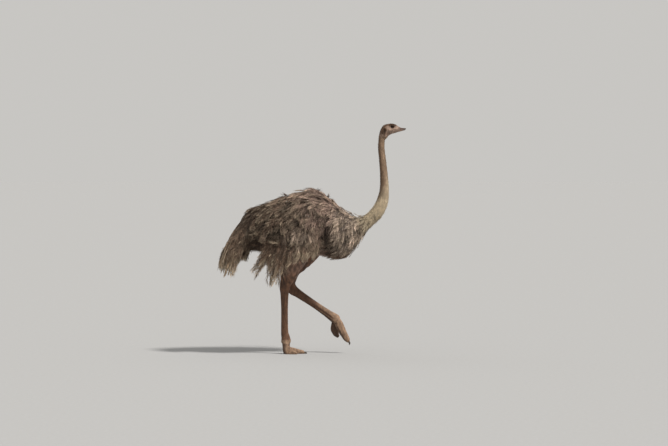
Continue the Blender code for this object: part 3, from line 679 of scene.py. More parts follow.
def sculpt_head(points):
    """Eyelids, brow, ear opening, corner of the mouth and jaw, on both sides."""
    points = points.copy()
    in_head = (points[:, 0] > 0.74) & (points[:, 2] > 1.74)
    for side in (RIGHT, LEFT):
        mine = in_head & (points[:, 1] * side > 0.006)
        x, y, z = points[mine].T
        y = y * side
        dx, dz = x - EYE[0], z - EYE[2]
        r = np.hypot(dx, dz)
        cos, sin = math.cos(EYE_TILT), math.sin(EYE_TILT)
        ex = (dx * cos + dz * sin) / 0.0140
        ez = (-dx * sin + dz * cos) / np.where(dz > 0, 0.0092, 0.0100)
        e = np.hypot(ex, ez)
        ball = EYE[1] + np.sqrt(np.maximum(EYE_RADIUS ** 2 - r ** 2, 0.0))
        lid = EYE[1] + np.sqrt(np.maximum((EYE_RADIUS + 0.0016) ** 2 - r ** 2, 0.0))
        lid = np.where(r > EYE_RADIUS * 0.98, y, np.maximum(lid, y - 0.002))
        folds = 0.0006 * np.sin((e - 1.0) * 16.0) * ramp(2.4, 1.2, e)
        y = y + (lid + folds - y) * ramp(2.15, 1.25, e) * (r < EYE_RADIUS * 1.6)
        y = y + (ball - 0.0045 - y) * ramp(1.02, 0.86, e)
        # brow, and the lore, a dent between the eye and the bill
        y = y + 0.0022 * spot_at(dx, dz, (-0.002, 0.0155), (0.020, 0.0045))
        y = y - 0.0022 * spot_at(x, z, (0.902, 1.862), (0.010, 0.008))
        # ear opening with a raised rim
        ear = np.hypot((x - EAR[0]) / 0.0050, (z - EAR[2]) / 0.0068)
        y = y - 0.0062 * ramp(1.0, 0.55, ear) + 0.0015 * bell(ear, 1.35, 0.35)
        # corner of the mouth
        gape = bell(z - GAPE_Z + 0.05 * (0.9 - x).clip(0), 0.0, 0.0011)
        y = y - 0.0022 * (ramp(0.882, 0.890, x) * gape)
        lips = ramp(0.884, 0.895, x) * bell(np.abs(z - GAPE_Z), 0.0035, 0.0018)
        y = y + 0.0008 * lips
        # cheek and jaw
        y = y + 0.0016 * spot_at(x, z, (0.850, 1.838), (0.016, 0.012))
        y = y - 0.0016 * spot_at(x, z, (0.853, 1.820), (0.024, 0.005))
        points[mine, 1] = y * side
    # throat skin hangs in fine folds
    throat = in_head & (points[:, 0] > 0.80)
    x, y, z = points[throat].T
    under = ramp(1.835, 1.815, z) * ramp(0.93, 0.90, x)
    points[throat, 2] = z - 0.0012 * under * (1 + np.sin(y * 900.0 + 3 * np.sin(x * 160.0)))
    return points


def build_skin(sheets):
    rows = skin_rows()
    head_from = len(rows) - len(HEAD_ROWS)
    # trunk, neck and head, each with closer rings
    spacing = [0.012] * (head_from - len(NECK_ROWS)) + [0.006, 0.005] + [0.004] * 6 + [0.0017] * 7
    places = even_places([((r[0] + r[2]) / 2, (r[1] + r[3]) / 2) for r in rows], spacing)
    skin = grid_object("skin", body_sections(
        spline(rows, places), square_at(places, head_from), full_turn(SKIN_SIDES)))
    bm = bmesh.new()
    bm.from_mesh(skin.data)
    fine = set()
    for face in bm.faces:
        c = face.calc_center_median()
        for spot, reach in (((EYE[0], EYE[2]), 0.026), ((EAR[0], EAR[2]), 0.013),
                            ((0.900, GAPE_Z), 0.022)):
            if math.hypot(c.x - spot[0], c.z - spot[1]) < reach and abs(c.y) > 0.008:
                fine.update(face.edges)
    bmesh.ops.subdivide_edges(bm, edges=list(fine), cuts=1, use_grid_fill=True)
    bmesh.ops.triangulate(bm, faces=[f for f in bm.faces if len(f.verts) > 4])
    bm.to_mesh(skin.data)
    bm.free()
    set_coordinates(skin.data, sculpt_head(coordinates(skin.data)))
    union(skin, [wing_arm(sheets[side]) for side in (RIGHT, LEFT)], 0.035)
    union(skin, [leg_object(side) for side in (RIGHT, LEFT)], 0.055)
    union(skin, [toe_object(rows, count, depth) for rows, count, depth in (
        (INNER_TOE_STANDING, 17, 0.0034), (OUTER_TOE_STANDING, 12, 0.0024),
        (INNER_TOE_LIFTED, 17, 0.0034), (OUTER_TOE_LIFTED, 12, 0.0024))], 0.010)
    skin.data.shade_smooth()
    return skin


# -------------------------------------------------------------------- colours
BROWN = srgb(104, 88, 76)
DARK_BROWN = srgb(72, 56, 46)
RUMP = srgb(62, 50, 42)
PALE_TIP = srgb(190, 172, 148)
BREAST = srgb(136, 122, 110)
NECK_PALE = srgb(212, 195, 167)
THIGH = srgb(122, 100, 88)
NECK_GREY = srgb(138, 114, 93)
NECK_DARK = srgb(92, 68, 48)
BARE = srgb(112, 80, 64)
LEG = srgb(98, 68, 49)
LEG_PALE = srgb(158, 132, 108)
CHEEK = srgb(157, 132, 116)
CROWN = srgb(98, 72, 54)


def fold_at(x, z):
    """1 in the crease between the folded wing and the breast, where the coat is painted dark as
    shade.
    """
    half = 0.042 + 0.018 * ramp(1.00, 0.90, z)
    return bell(x - 0.08 * (z - 0.98), 0.330, half) * ramp(1.15, 1.04, z)


def neckwards(x, z):
    """How far forward a point is, measured square to the leaning base of the neck."""
    return x + 0.35 * (z - 1.05)


def painted(colour, *layers):
    """The colour with layers of (tone, share) blended over it in turn."""
    for tone, share in layers:
        colour = mix(colour, tone, share)
    return colour


def coat_colour(points):
    """The coat's colour by place: the markings that skin and feathers share, with painted shade
    and painted light among them.
    """
    x, _, z = points.T
    fold = fold_at(x, z)
    rump = ramp(0.06, -0.22, x) * ramp(0.98, 1.14, z + 0.25 * x)
    below = ramp(0.00, -0.10, x) * ramp(1.06, 0.98, z) * ramp(-0.30, -0.22, x)
    breast = ramp(0.345, 0.42, x) * ramp(1.24, 1.12, z) * ramp(0.80, 0.86, z)
    colour = painted(
        np.broadcast_to(BROWN, points.shape),
        # crest, shoulder, lower wing, rump, painted shade under the rump, tail and its end
        (BROWN * 1.74, 0.8 * ramp(1.20, 1.32, z) * ramp(-0.15, 0.10, x)),
        (BROWN * (2.58, 2.52, 2.78), 0.8 * ramp(0.10, 0.22, x) * ramp(0.96, 1.06, z)),
        (BROWN * 1.28, 0.8 * ramp(-0.12, 0.00, x) * ramp(1.06, 0.96, z)),
        (RUMP, 0.75 * rump),
        (DARK_BROWN * 1.25, 0.6 * below * ramp(0.80, 0.92, z)),
        (BROWN * 1.30, 0.8 * ramp(-0.30, -0.40, x) * ramp(1.10, 0.98, z)),
        (PALE_TIP * (0.95, 0.88, 0.80), 0.65 * ramp(-0.34, -0.42, x) * ramp(0.88, 0.76, z)),
        # flank: two dark patches, a pale streak between them, a pale patch on the lower wing
        (RUMP * 0.70, 0.75 * np.maximum(spot_at(x, z, (-0.280, 1.05), (0.065, 0.11), 0.25),
                                        spot_at(x, z, (-0.055, 1.01), (0.085, 0.050)))),
        (BREAST * 1.20, 0.75 * spot_at(x, z, (-0.187, 0.955), (0.024, 0.085), -0.58)),
        (BREAST * 1.75, 0.85 * spot_at(x, z, (0.120, 0.970), (0.085, 0.050))),
        # painted shade in the crease between the folded wing and the breast
        (DARK_BROWN * (0.27, 0.24, 0.24), 0.95 * fold),
        (BREAST * 1.64, 0.85 * breast * (1 - fold)),
        (BREAST * 1.90, 0.8 * ramp(0.47, 0.56, x) * ramp(0.84, 0.92, z)))
    # painted shade in the gaps between the locks at the front of the breast
    for middle, lean in ((0.518, 0.10), (0.583, 0.06)):
        parting_shade = bell(x - lean * (z - 1.0), middle, 0.007)
        parting_shade = parting_shade * ramp(0.88, 0.93, z) * ramp(1.09, 1.04, z)
        colour = mix(colour, DARK_BROWN * 0.7, 0.75 * parting_shade)
    # the rear and the loose plumes are a warmer brown than the wing and breast
    warm = np.maximum(ramp(0.06, -0.14, x), ramp(0.88, 0.80, z) * (x < 0.30))
    colour = colour * (1 - warm[:, None] * (0.0, 0.07, 0.12))
    loose = ramp(0.84, 0.72, z) * ramp(0.10, 0.0, x) * ramp(-0.34, -0.30, x)
    colour = colour * (1 - loose[:, None] * (0.18, 0.35, 0.44))
    # the neck is dark behind, partly its own colour and partly painted shade, and pale in front up
    # to half its height, partly painted light
    neck = ramp(0.575, 0.66, neckwards(x, z))
    up = ramp(1.22, 1.42, z) * neck
    middle = np.interp(z, (1.2, 1.3, 1.4, 1.5, 1.6, 1.7, 1.77),
                       (0.76, 0.798, 0.809, 0.804, 0.794, 0.784, 0.785))
    across = (x - middle) / np.interp(z, (1.2, 1.4, 1.6, 1.77), (0.05, 0.040, 0.029, 0.026))
    behind = ramp(0.10, -0.90, across) * ramp(1.18, 1.36, z) * neck
    throat = ramp(0.10, 0.80, across) * ramp(1.52, 1.36, z) * up
    # painted shade in gaps in the down at the base of the neck, deepest as a painted shadow where
    # the breast begins
    down_gap_shade = ramp(0.35, 1.0, drift(points * (1.7, 1.0, 0.8), 0.024, 2))
    down_gap_shade = down_gap_shade * ramp(0.30, 0.80, neck) * ramp(1.20, 1.10, z)
    breast_edge_shadow = np.maximum(spot_at(x, z, (0.632, 1.040), (0.015, 0.060), 0.28),
                            spot_at(x, z, (0.603, 1.000), (0.014, 0.042), 0.15))
    return painted(
        colour, (BARE * 1.15, 0.8 * ramp(0.845, 0.800, z) * ramp(0.28, 0.36, x)),
        # painted shade on the back of the neck and painted light on its front
        (NECK_PALE, neck), (NECK_GREY, up), (NECK_DARK, 0.78 * behind),
        (NECK_PALE * 1.05, 0.60 * throat),
        # painted shade in the gaps of the down, and painted shadow at the breast's edge
        (DARK_BROWN * 0.50, np.maximum(0.75 * down_gap_shade, 0.95 * breast_edge_shadow)))


def head_colour(points, colour):
    """The colour with the markings of the head over it, and painted shade in the ear opening,
    along the gape and under the jaw.
    """
    x, _, z = points.T
    brow_line = np.interp(x, (0.80, 0.88, 0.925), (1.872, 1.874, 1.866))
    crown = ramp(brow_line, brow_line + 0.006, z) * ramp(0.927, 0.914, x)
    crown = crown + ramp(0.832, 0.812, x) * ramp(1.80, 1.82, z)
    below_eye = spot_at(x, z, (0.840, 1.855), (0.019, 0.007))
    before_eye = spot_at(x, z, (0.892, 1.857), (0.008, 0.006))
    ring = np.hypot((x - EYE[0]) / 0.016, (z - EYE[2]) / 0.012)
    nape = bell(x - 0.2 * (z - 1.83), 0.813, 0.008) * ramp(1.862, 1.850, z)
    ear = np.hypot((x - EAR[0]) / 0.0050, (z - EAR[2]) / 0.0068)
    face = painted(
        np.broadcast_to(CHEEK * 0.80, points.shape),
        (CHEEK * 1.18, spot_at(x, z, (0.853, 1.850), (0.020, 0.013))),
        (CHEEK * (0.80, 0.80, 0.82), ramp(0.902, 0.918, x)),
        (CROWN, np.clip(crown, 0, 1) * 0.9),
        (CHEEK * 1.42, 0.7 * np.maximum(below_eye, before_eye)),
        (CHEEK * (0.66, 0.70, 0.72), 0.6 * spot_at(x, z, (0.845, 1.828), (0.028, 0.012))),
        (CROWN * 0.42, ramp(1.14, 0.94, ring)),
        (CROWN * 0.55, 0.8 * nape),
        # painted shade in the ear opening
        (CROWN * 0.35, ramp(1.05, 0.6, ear)),
        # painted shade along the corner of the mouth
        (CROWN * 0.55, 0.55 * bell(z, GAPE_Z + 0.001, 0.0024) * ramp(0.872, 0.884, x)),
        # painted shadow under the jaw
        (CROWN * 1.1, 0.6 * spot_at(x, z, (0.838, 1.812), (0.016, 0.012))))
    return mix(colour, face, ramp(1.765, 1.80, z) * ramp(0.74, 0.76, x))


def skin_colour(points):
    """The skin's colour by place: painted dark as shade under the feathers, brown and marked on
    the legs.
    """
    x, y, z = points.T
    coat = coat_colour(points)
    thigh = ramp(0.93, 0.86, z) * (x < 0.60) * (x > -0.16)
    colour = painted(
        # under the feathers the skin is painted at 0.4 of the coat's colour, as shade deep in the
        # coat
        coat * 0.40, (coat * 0.92, ramp(0.62, 0.74, neckwards(x, z)) * (z > 0.98)),
        (BARE, ramp(0.875, 0.835, z) * ramp(0.56, 0.50, x)),
        (LEG * 1.05, thigh), (LEG, ramp(0.80, 0.74, z)),
        # painted light on the near thigh
        (THIGH, 0.50 * thigh * ramp(0.58, 0.72, z) * (y < 0.0)))
    streaks = 1 + 0.34 * drift(points * (1.0, 1.0, 0.22), 0.016, 1)
    streaks = mix(1.0 + 0 * points, streaks[:, None], thigh * ramp(0.50, 0.60, z))
    colour = colour * np.clip(streaks, 0.5, 1.8)
    standing = ramp(0.30, 0.20, z) * (x < 0.20)
    lifted = ramp(0.36, 0.44, x) * (z < 0.40)
    feet = np.maximum(ramp(0.13, 0.085, z) * (x < 0.2), ramp(0.365, 0.40, x) * (z < 0.40))
    # painted shade darkens the back of the shank, the heel and the rim of the sole
    behind = ramp(-0.012, -0.034, x) * ramp(0.52, 0.44, z)
    heel = ramp(0.030, 0.004, x) * ramp(0.094, 0.078, z) * ramp(0.012, -0.006, x)
    sole = ramp(0.012, 0.003, z)
    shade = np.clip(0.45 * behind + 0.75 * heel + 0.5 * sole, 0, 0.8)
    # the lifted shank has pale plates in front and a pale tendon; painted shade darkens the groove
    # between them and its back
    ahead = (x - 0.260) * 0.572 + (z - 0.384) * 0.820
    shank = ramp(0.235, 0.285, x) * ramp(0.405, 0.385, x) * (z < 0.45)
    plates = band(ahead, 0.006, 0.050, 0.003) + band(ahead, -0.019, -0.012, 0.002)
    groove_shade = band(ahead, -0.008, 0.001, 0.003) + band(ahead, -0.050, -0.024, 0.002)
    # painted shade darkens the lifted foot's outer toe, which hangs in shadow, and its soles; a
    # dark spot marks the joint
    under = (z - 0.240) * -0.474 - (x - 0.436) * 0.881
    soles = ramp(0.013, 0.021, under) * ramp(0.40, 0.43, x) * (z < 0.26)
    outer = ramp(0.36, 0.38, x) * ramp(0.275, 0.250, z) * ramp(0.088, 0.100, y)
    joint = spot_at(x, z, (0.411, 0.246), (0.010, 0.008)) * (x > 0.3)
    # the standing foot has a pale band round the ankle, painted light on the base of its outer
    # toe, and painted shade in the hollow between its toes
    foot = ramp(0.20, 0.15, z) * (x < 0.2)
    hollow_shade = np.maximum(spot_at(x, z, (0.025, 0.074), (0.010, 0.007)),
                         spot_at(x, z, (0.026, 0.042), (0.008, 0.014)))
    return head_colour(points, painted(
        colour, (LEG * 0.88, ramp(0.56, 0.46, z) * ramp(0.20, 0.30, z)),
        (LEG * 1.1, np.maximum(standing, lifted)),
        (LEG_PALE * (0.88, 0.84, 0.82), 0.75 * feet),
        (LEG * 0.55, shade * (x < 0.25)),
        (LEG_PALE * (0.84, 0.80, 0.76), 0.55 * shank * plates),
        (LEG * 0.42, 0.70 * shank * groove_shade),
        (LEG * 0.52, 0.80 * np.maximum(np.maximum(soles, outer), joint)),
        (LEG_PALE, 0.55 * foot * band(z, 0.094, 0.107, 0.010)),
        # painted light on the base of the outer toe
        (LEG_PALE, 0.60 * foot * spot_at(x, z, (0.001, 0.048), (0.007, 0.022))),
        # painted shade in the hollow between the toes
        (LEG * 0.50, 0.70 * foot * hollow_shade)))


# ------------------------------------------------------------------- feathers
# How much of the unwrap each tuft's patch takes
PATCH = 0.003
# Feathers that stand out sideways are drawn in smoothly from here, to at most the sum.
SIDE_FROM = 0.278
SIDE_ROOM = 0.020


class Coat:
    """Collects the blades of one coat piece."""

    def __init__(self, name, slot):
        self.name, self.slot = name, slot
        self.points, self.faces, self.colours, self.maps = [], [], [], []
        self.count = 0

    def add(self, points, faces, colours, maps):
        """points (M, k, 3); faces (f, 3) within one blade; colours and maps per point."""
        many, each = points.shape[:2]
        starts = self.count + np.arange(many)[:, None, None] * each
        self.points.append(points.reshape(-1, 3))
        self.faces.append((faces[None] + starts).reshape(-1, 3))
        self.colours.append(colours.reshape(-1, 3))
        self.maps.append(maps.reshape(-1, 2))
        self.count += many * each

    def finish(self, material):
        points = np.concatenate(self.points).astype(np.float32)
        points[:, 2] = np.maximum(points[:, 2], 0.0)
        over = np.maximum(np.abs(points[:, 1]) - SIDE_FROM, 0.0)
        points[:, 1] -= np.sign(points[:, 1]) * (over - SIDE_ROOM * np.tanh(over / SIDE_ROOM))
        faces = np.concatenate(self.faces).astype(np.int32)
        mesh = bpy.data.meshes.new(self.name)
        mesh.vertices.add(len(points))
        mesh.vertices.foreach_set("co", points.ravel())
        mesh.loops.add(faces.size)
        mesh.loops.foreach_set("vertex_index", faces.ravel())
        mesh.polygons.add(len(faces))
        mesh.polygons.foreach_set("loop_start", np.arange(len(faces), dtype=np.int32) * 3)
        mesh.update(calc_edges=True)
        colours = np.concatenate(self.colours)
        colours = np.concatenate((colours, np.ones((len(colours), 1))), 1)
        tone = mesh.color_attributes.new("tone", "FLOAT_COLOR", "POINT")
        tone.data.foreach_set("color", colours.astype(np.float32).ravel())
        maps = np.concatenate(self.maps)[faces.ravel()]
        mesh.uv_layers.new(name="OFBake").data.foreach_set("uv", maps.astype(np.float32).ravel())
        mesh.shade_smooth()
        piece = link(self.name, mesh)
        mesh.materials.append(material)
        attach(piece, "root")
        return piece


def blade_faces(segments):
    faces = [(0, 2, 1)]
    for k in range(segments - 1):
        a = 3 * k
        for p, q in ((0, 1), (1, 2), (2, 0)):
            faces += [(a + p, a + q, a + q + 3), (a + p, a + q + 3, a + p + 3)]
    a, tip = 3 * (segments - 1), 3 * segments
    faces += [(a, a + 1, tip), (a + 1, a + 2, tip), (a + 2, a, tip)]
    return np.array(faces)


# How wide a blade is at the start of each of its segments
BLADE_SHAPES = {2: (1.0, 0.75), 3: (0.85, 1.0, 0.62)}


def blades(origin, tangent, normal, side, length, width, opening, curl, lift, droop, twist,
           segments, wave=0.0, phase=0.0):
    """Thin closed blades, each tapering to a point; values are one for each or for all."""
    droop = np.broadcast_to(droop, len(origin))
    spread = unit(np.cross(normal, tangent)) * side[:, None]
    centre = origin
    rings = []
    for k in range(segments):
        share = k / (segments - 1)
        angle = opening * (1.0 - curl * share) + wave * np.sin(phase + 4.2 * share)
        heading = unit(tangent * np.cos(angle)[:, None] + spread * np.sin(angle)[:, None]
                       + normal * (lift * (1.0 - 1.6 * share))[:, None]
                       + DOWN * (droop * share)[:, None])
        across = unit(np.cross(normal, heading))
        ridge = np.cross(heading, across)
        turn = twist * (0.4 + share)
        turn_c, turn_s = np.cos(turn)[:, None], np.sin(turn)[:, None]
        flat, up = across * turn_c + ridge * turn_s, ridge * turn_c - across * turn_s
        half = (width * BLADE_SHAPES[segments][k] / 2)[:, None]
        rings.append(np.stack((centre - flat * half, centre + flat * half,
                               centre + up * (half * 0.35 + 0.0002)), 1))
        centre = centre + heading * (length / segments)[:, None]
    return np.concatenate(rings + [centre[:, None]], 1)


def along_line(lines, places):
    """Values on lines (F, K, 3) at places (F, J) of 0 to 1."""
    last = lines.shape[1] - 1
    spot = np.clip(places, 0.0, 0.9999) * last
    index = spot.astype(int)
    share = (spot - index)[..., None]
    rows = np.arange(len(lines))[:, None]
    return lines[rows, index] * (1 - share) + lines[rows, index + 1] * share


WISPS = 4


def add_plumes(coat, lines, normals, barb, tints, maps, seed, per_side=14, segments=3,
               blade=0.0032, fringe=0.5, loose=1.0, wave=0.16, root_shade=0.38, quill=0.0010,
               droop=0.12, spread=1.0, cream=0.0):
    """Plumes: a quill along each line with loose barbs down both sides of it, in wisps.

    lines, normals: (F, K, 3); barb (its length), tints: (F,); maps: (F, 2) root places."""
    rng = np.random.default_rng(seed)
    count = len(lines)
    tangents = unit(np.gradient(lines, axis=1))
    normals = unit(normals - tangents * (normals * tangents).sum(-1, keepdims=True))
    base = np.linspace(0.06, 0.99, per_side)[None, None]
    place = base + rng.normal(0, 0.30 / per_side, (count, 2, per_side))
    place = np.clip(place, 0.02, 0.995).reshape(count, -1)
    side = np.tile(np.repeat((-1.0, 1.0), per_side), (count, 1))
    origin = along_line(lines, place).reshape(-1, 3)
    tangent = unit(along_line(tangents, place).reshape(-1, 3))
    normal = unit(along_line(normals, place).reshape(-1, 3))
    wisp = (np.floor(place * WISPS) + WISPS * (side > 0)).astype(int).ravel()
    belongs = np.repeat(np.arange(count), 2 * per_side)
    place, side = place.ravel(), side.ravel()
    many = len(place)

    def by_wisp(middle, spread_by, own):
        shared = rng.normal(0, spread_by, (count, 2 * WISPS + 2))[belongs, wisp]
        return middle + shared + rng.normal(0, own, many)

    length = barb[belongs] * np.interp(place, (0.0, 0.3, 0.7, 1.0), (0.75, 1.0, 0.95, 0.62))
    length = length * by_wisp(1.0, 0.14, 0.10).clip(0.55, 1.5)
    opening = np.interp(place, (0.0, 0.5, 0.85, 1.0), (0.80, 0.62, 0.40, 0.10)) * spread
    opening = opening + by_wisp(0.0, 0.15 * loose, 0.07 * loose)
    opening = opening + rng.normal(0, 0.12, count)[belongs] * side
    curl = by_wisp(0.75, 0.35 * loose, 0.12)
    lift = by_wisp(0.06, 0.13 * loose, 0.05)
    twist = by_wisp(0.0, 0.4, 0.2)
    sag = droop * by_wisp(1.0, 0.4, 0.1)
    width = blade * rng.uniform(0.7, 1.3, many)
    phase = by_wisp(0.0, 2.5, 0.35)
    shape = blades(origin, tangent, normal, side, length, width, opening, curl, lift, sag,
                   twist, segments, wave * loose, phase)
    middle = along_line(lines, np.full((count, 1), 0.45))[:, 0]
    # plumes in the crease behind the breast are painted darker, as shade: no lighter tint and less
    # pale barbs
    shaded = 1 - 0.90 * fold_at(middle[:, 0], middle[:, 2])
    tints = 1 + (tints - 1) * shaded
    # no feather is brighter than the down at the base of the neck
    tints = np.minimum(tints, 1 + ramp(0.66, 0.56, neckwards(middle[:, 0], middle[:, 2])))
    base_colour = coat_colour(middle) * tints[:, None]
    own = base_colour[belongs] * by_wisp(1.0, 0.20, 0.07).clip(0.45, 1.7)[:, None]
    shares = np.repeat(np.arange(segments) / segments, 3).tolist() + [1.0]
    shares = np.array(shares)[None, :, None]
    reach = place[:, None, None]
    # barbs darken towards their roots, partly their own colour and partly painted shade deep in
    # the coat
    dark = root_shade + (1 - root_shade) * ramp(0.0, 0.62, reach * 0.70 + shares * 0.45)
    colours = own[:, None] * dark
    fringe = np.broadcast_to(fringe, count)[belongs][:, None, None]
    paleness = fringe * ramp(0.35, 1.15, shares * 0.60 + reach * 0.52)
    paleness = paleness + cream * ramp(0.66, 1.0, 0.86 * reach + 0.16 * shares)
    paleness = paleness * by_wisp(0.85, 0.50, 0.12).clip(0.0, 1.8)[:, None, None]
    paleness = np.clip(paleness, 0, 0.95) * shaded[belongs][:, None, None]
    light = PALE_TIP * (0.50 + 0.50 * tints[belongs])[:, None]
    colours = colours * (1 - paleness) + light[:, None] * paleness
    lateral = 0.5 + 0.5 * side[:, None, None] * (0.1 + 0.9 * shares)
    forward = np.clip(reach + 0.3 * shares * (1 - reach), 0, 1)
    patch = np.concatenate((lateral, forward), -1)
    places = maps[belongs][:, None] + (patch - 0.5) * PATCH
    coat.add(shape, blade_faces(segments), colours, places)
    add_quills(coat, lines, tangents, normals, quill, base_colour * 0.8, maps)


def add_quills(coat, lines, tangents, normals, thick, base_colour, maps):
    """The shafts of plumes, three-sided, from root to tip."""
    count, each = lines.shape[:2]
    across = unit(np.cross(normals, tangents))
    share = np.linspace(0, 1, each)
    half = (thick * (1.0 - 0.8 * share))[None, :, None]
    rings = np.stack((lines - across * half, lines + across * half, lines + normals * half), 2)
    points = np.concatenate((rings[:, :-1].reshape(count, -1, 3), lines[:, -1:]), 1)
    tone = base_colour[:, None] * np.ones((1, points.shape[1], 1))
    along = np.append(np.repeat(share[:-1], 3), 1.0)
    patch = np.stack((np.full_like(along, 0.5), along), -1)[None]
    coat.add(points, blade_faces(each - 1), tone, maps[:, None] + (patch - 0.5) * PATCH)


def add_hairs(coat, points, normals, along, length, width, colours, tips, maps, seed,
              lift=0.25, segments=2, loose=0.3, droop=0.0):
    """Single small blades straight from the skin: down, bristles and lashes."""
    rng = np.random.default_rng(seed)
    many = len(points)
    shape = blades(points, along, normals, rng.choice((-1.0, 1.0), many),
                   length * rng.uniform(0.6, 1.3, many), width * rng.uniform(0.7, 1.3, many),
                   np.abs(rng.normal(0, loose, many)), rng.normal(0.6, 0.5, many),
                   np.abs(rng.normal(lift, 0.12, many)), droop,
                   rng.normal(0, 0.4, many), segments)
    shares = np.append(np.repeat(np.arange(segments) / segments, 3), 1.0)[None, :, None]
    own = (colours * rng.uniform(0.75, 1.25, many)[:, None])[:, None]
    bright = rng.uniform(0.8, 1.2, many)[:, None, None]
    tone = own * (1 - shares) + tips[:, None] * shares * bright
    patch = np.concatenate((0.5 + 0 * shares, shares), -1)
    coat.add(shape, blade_faces(segments), tone, maps[:, None] + (patch - 0.5) * PATCH)


def share_map(along, across):
    """Places on a sheet's unwrap, from shares of its length and width."""
    return np.stack((0.01 + 0.98 * along, 0.01 + 0.98 * across), -1)


def body_map(u, v):
    """Places on the skin's own unwrap: along the body, and round it."""
    return share_map(u / (BODY_RINGS - 1), np.mod(v, BODY_SIDES) / BODY_SIDES)


def sheet_map(sheet, u, v):
    rows, columns = sheet.points.shape[:2]
    return share_map(np.clip(u / (rows - 1), 0, 1), np.clip(v / (columns - 1), 0, 1))


# ------------------------------------------------------------------ coat plans
RUN = np.linalg.norm(np.diff(body.points, axis=0), axis=-1)
RUN = np.concatenate((np.zeros((1, BODY_SIDES)), np.cumsum(RUN, axis=0)))


def run_at(u, v):
    """Distance along the body from its tail end."""
    i = np.clip(u, 0, BODY_RINGS - 1.001)
    low = i.astype(int)
    j = np.mod(v, BODY_SIDES).astype(int) % BODY_SIDES
    return RUN[low, j] + (RUN[low + 1, j] - RUN[low, j]) * (i - low)


def skin_depth(u, v):
    """How deep the skin lies under the body surface at a place."""
    rows = spline(BODY_ROWS, body_row_at(u))
    angle = v * 2 * math.pi / BODY_SIDES
    back = np.clip(np.cos(angle), 0, 1) ** 2
    belly = np.clip(-np.cos(angle), 0, 1) ** 2
    return rows[:, 5] * back + rows[:, 6] * belly + rows[:, 7] * (1 - back - belly)


def plume_heights(root, tip, steps, bow):
    """Heights over a sheet from root to tip, bowed up between."""
    share = np.linspace(0, 1, steps + 1)[None]
    rise = share ** 0.7
    arch = bow[:, None] * np.sin(math.pi * share)
    return np.reshape(root, (-1, 1)) * (1 - rise) + tip[:, None] * rise + arch


def inside_wing(points, grow):
    """Whether a flank point lies behind the folded wing, away from its edges."""
    x, y, z = points.T
    rows = np.array(WING_ROWS[::-1])
    top, low = np.interp(x, rows[:, 0], rows[:, 1]), np.interp(x, rows[:, 2], rows[:, 3])
    rear, front = rows[0, 0] + grow, rows[-1, 0] - grow
    hidden = (z < top - grow) & (z > low + grow * 0.4) & (x > rear) & (x < front)
    return hidden & (np.abs(y) > 0.10)


def plume_tints(rng, points, contrast=1.0):
    """How light each plume is: broad lumps, and a few much paler or darker plumes."""
    many = len(points)
    own = rng.normal(0, 0.13, many) + rng.choice((-0.34, 0.0, 0.55), many, p=(0.30, 0.43, 0.27))
    return np.clip(1.0 + contrast * (0.16 * drift(points, 0.06, 3) + own), 0.30, 2.1)


def wander_at(points, size):
    """A smooth field of headings that makes neighbouring feathers swirl together."""
    return np.stack([drift(points, size, layer) for layer in range(3)], -1)


def fall_at(points):
    """How steeply contour feathers hang: little on the back, much on the breast."""
    x, z = points[:, 0], points[:, 2]
    fall = 0.45 + 0.35 * ramp(1.20, 1.00, z) + 0.25 * ramp(-0.10, -0.25, x)
    return fall + 0.75 * ramp(0.30, 0.42, x) * ramp(1.22, 1.08, z)


def body_feathers(coat, keep, gap, length, barb, seed, per_side, fringe, blade, droop):
    """Contour feathers of the trunk within the zone that keep gives."""
    rng = np.random.default_rng(seed)
    u, v = body.scatter(gap, keep, seed)
    point, normal, along, _ = body.at(u, v)
    many = len(u)
    wish = -unit(along) + DOWN * fall_at(point)[:, None] + wander_at(point, 0.10) * 0.30
    wish[:, 1] += np.sign(point[:, 1]) * 0.22 * ramp(0.9, 0.2, np.abs(point[:, 1]) / 0.2)
    wish = unit(wish + rng.normal(0, 0.12, (many, 3)))
    size = rng.uniform(0.78, 1.18, many)
    depth = skin_depth(u, v)
    tip = np.minimum(rng.normal(-0.006, 0.009, many) + 0.005 * drift(point, 0.07, 2), 0.010)
    # no feather sinks into the skin, but all lie lower in the crease behind the breast
    tip = np.maximum(tip, -0.42 * depth) - 0.018 * fold_at(point[:, 0], point[:, 2])
    upper = ramp(0.25, 0.75, normal[:, 2]) * ramp(0.30, 0.20, point[:, 0])
    upper = upper * (0.008 + 0.008 * bell(point[:, 0], 0.14, 0.09))
    tip = tip - upper - 0.012 * ramp(-0.18, -0.30, point[:, 0])
    bow = 0.002 + 0.3 * depth * rng.uniform(0, 0.4, many)
    lines, normals = body.lay(u, v, wish, length(point) * size, 6, 0.35,
                              rng.normal(0, 0.45, many), plume_heights(-depth, tip, 6, bow))
    add_plumes(coat, lines, normals, barb(point) * size, plume_tints(rng, point), body_map(u, v),
               seed + 1, per_side=per_side, fringe=fringe, blade=blade, droop=droop)


# Dark wisps that stand up from the line of the back: x, its spread, length, lean forwards
STRAY_WISPS = (
    (-0.005, 0.010, 0.040, -1.2), (0.190, 0.016, 0.036, -1.6), (0.225, 0.014, 0.034, -1.2),
    (0.262, 0.016, 0.036, 1.2), (0.350, 0.006, 0.036, -0.35), (0.398, 0.010, 0.036, -1.0),
    (0.545, 0.010, 0.020, -0.8),
)


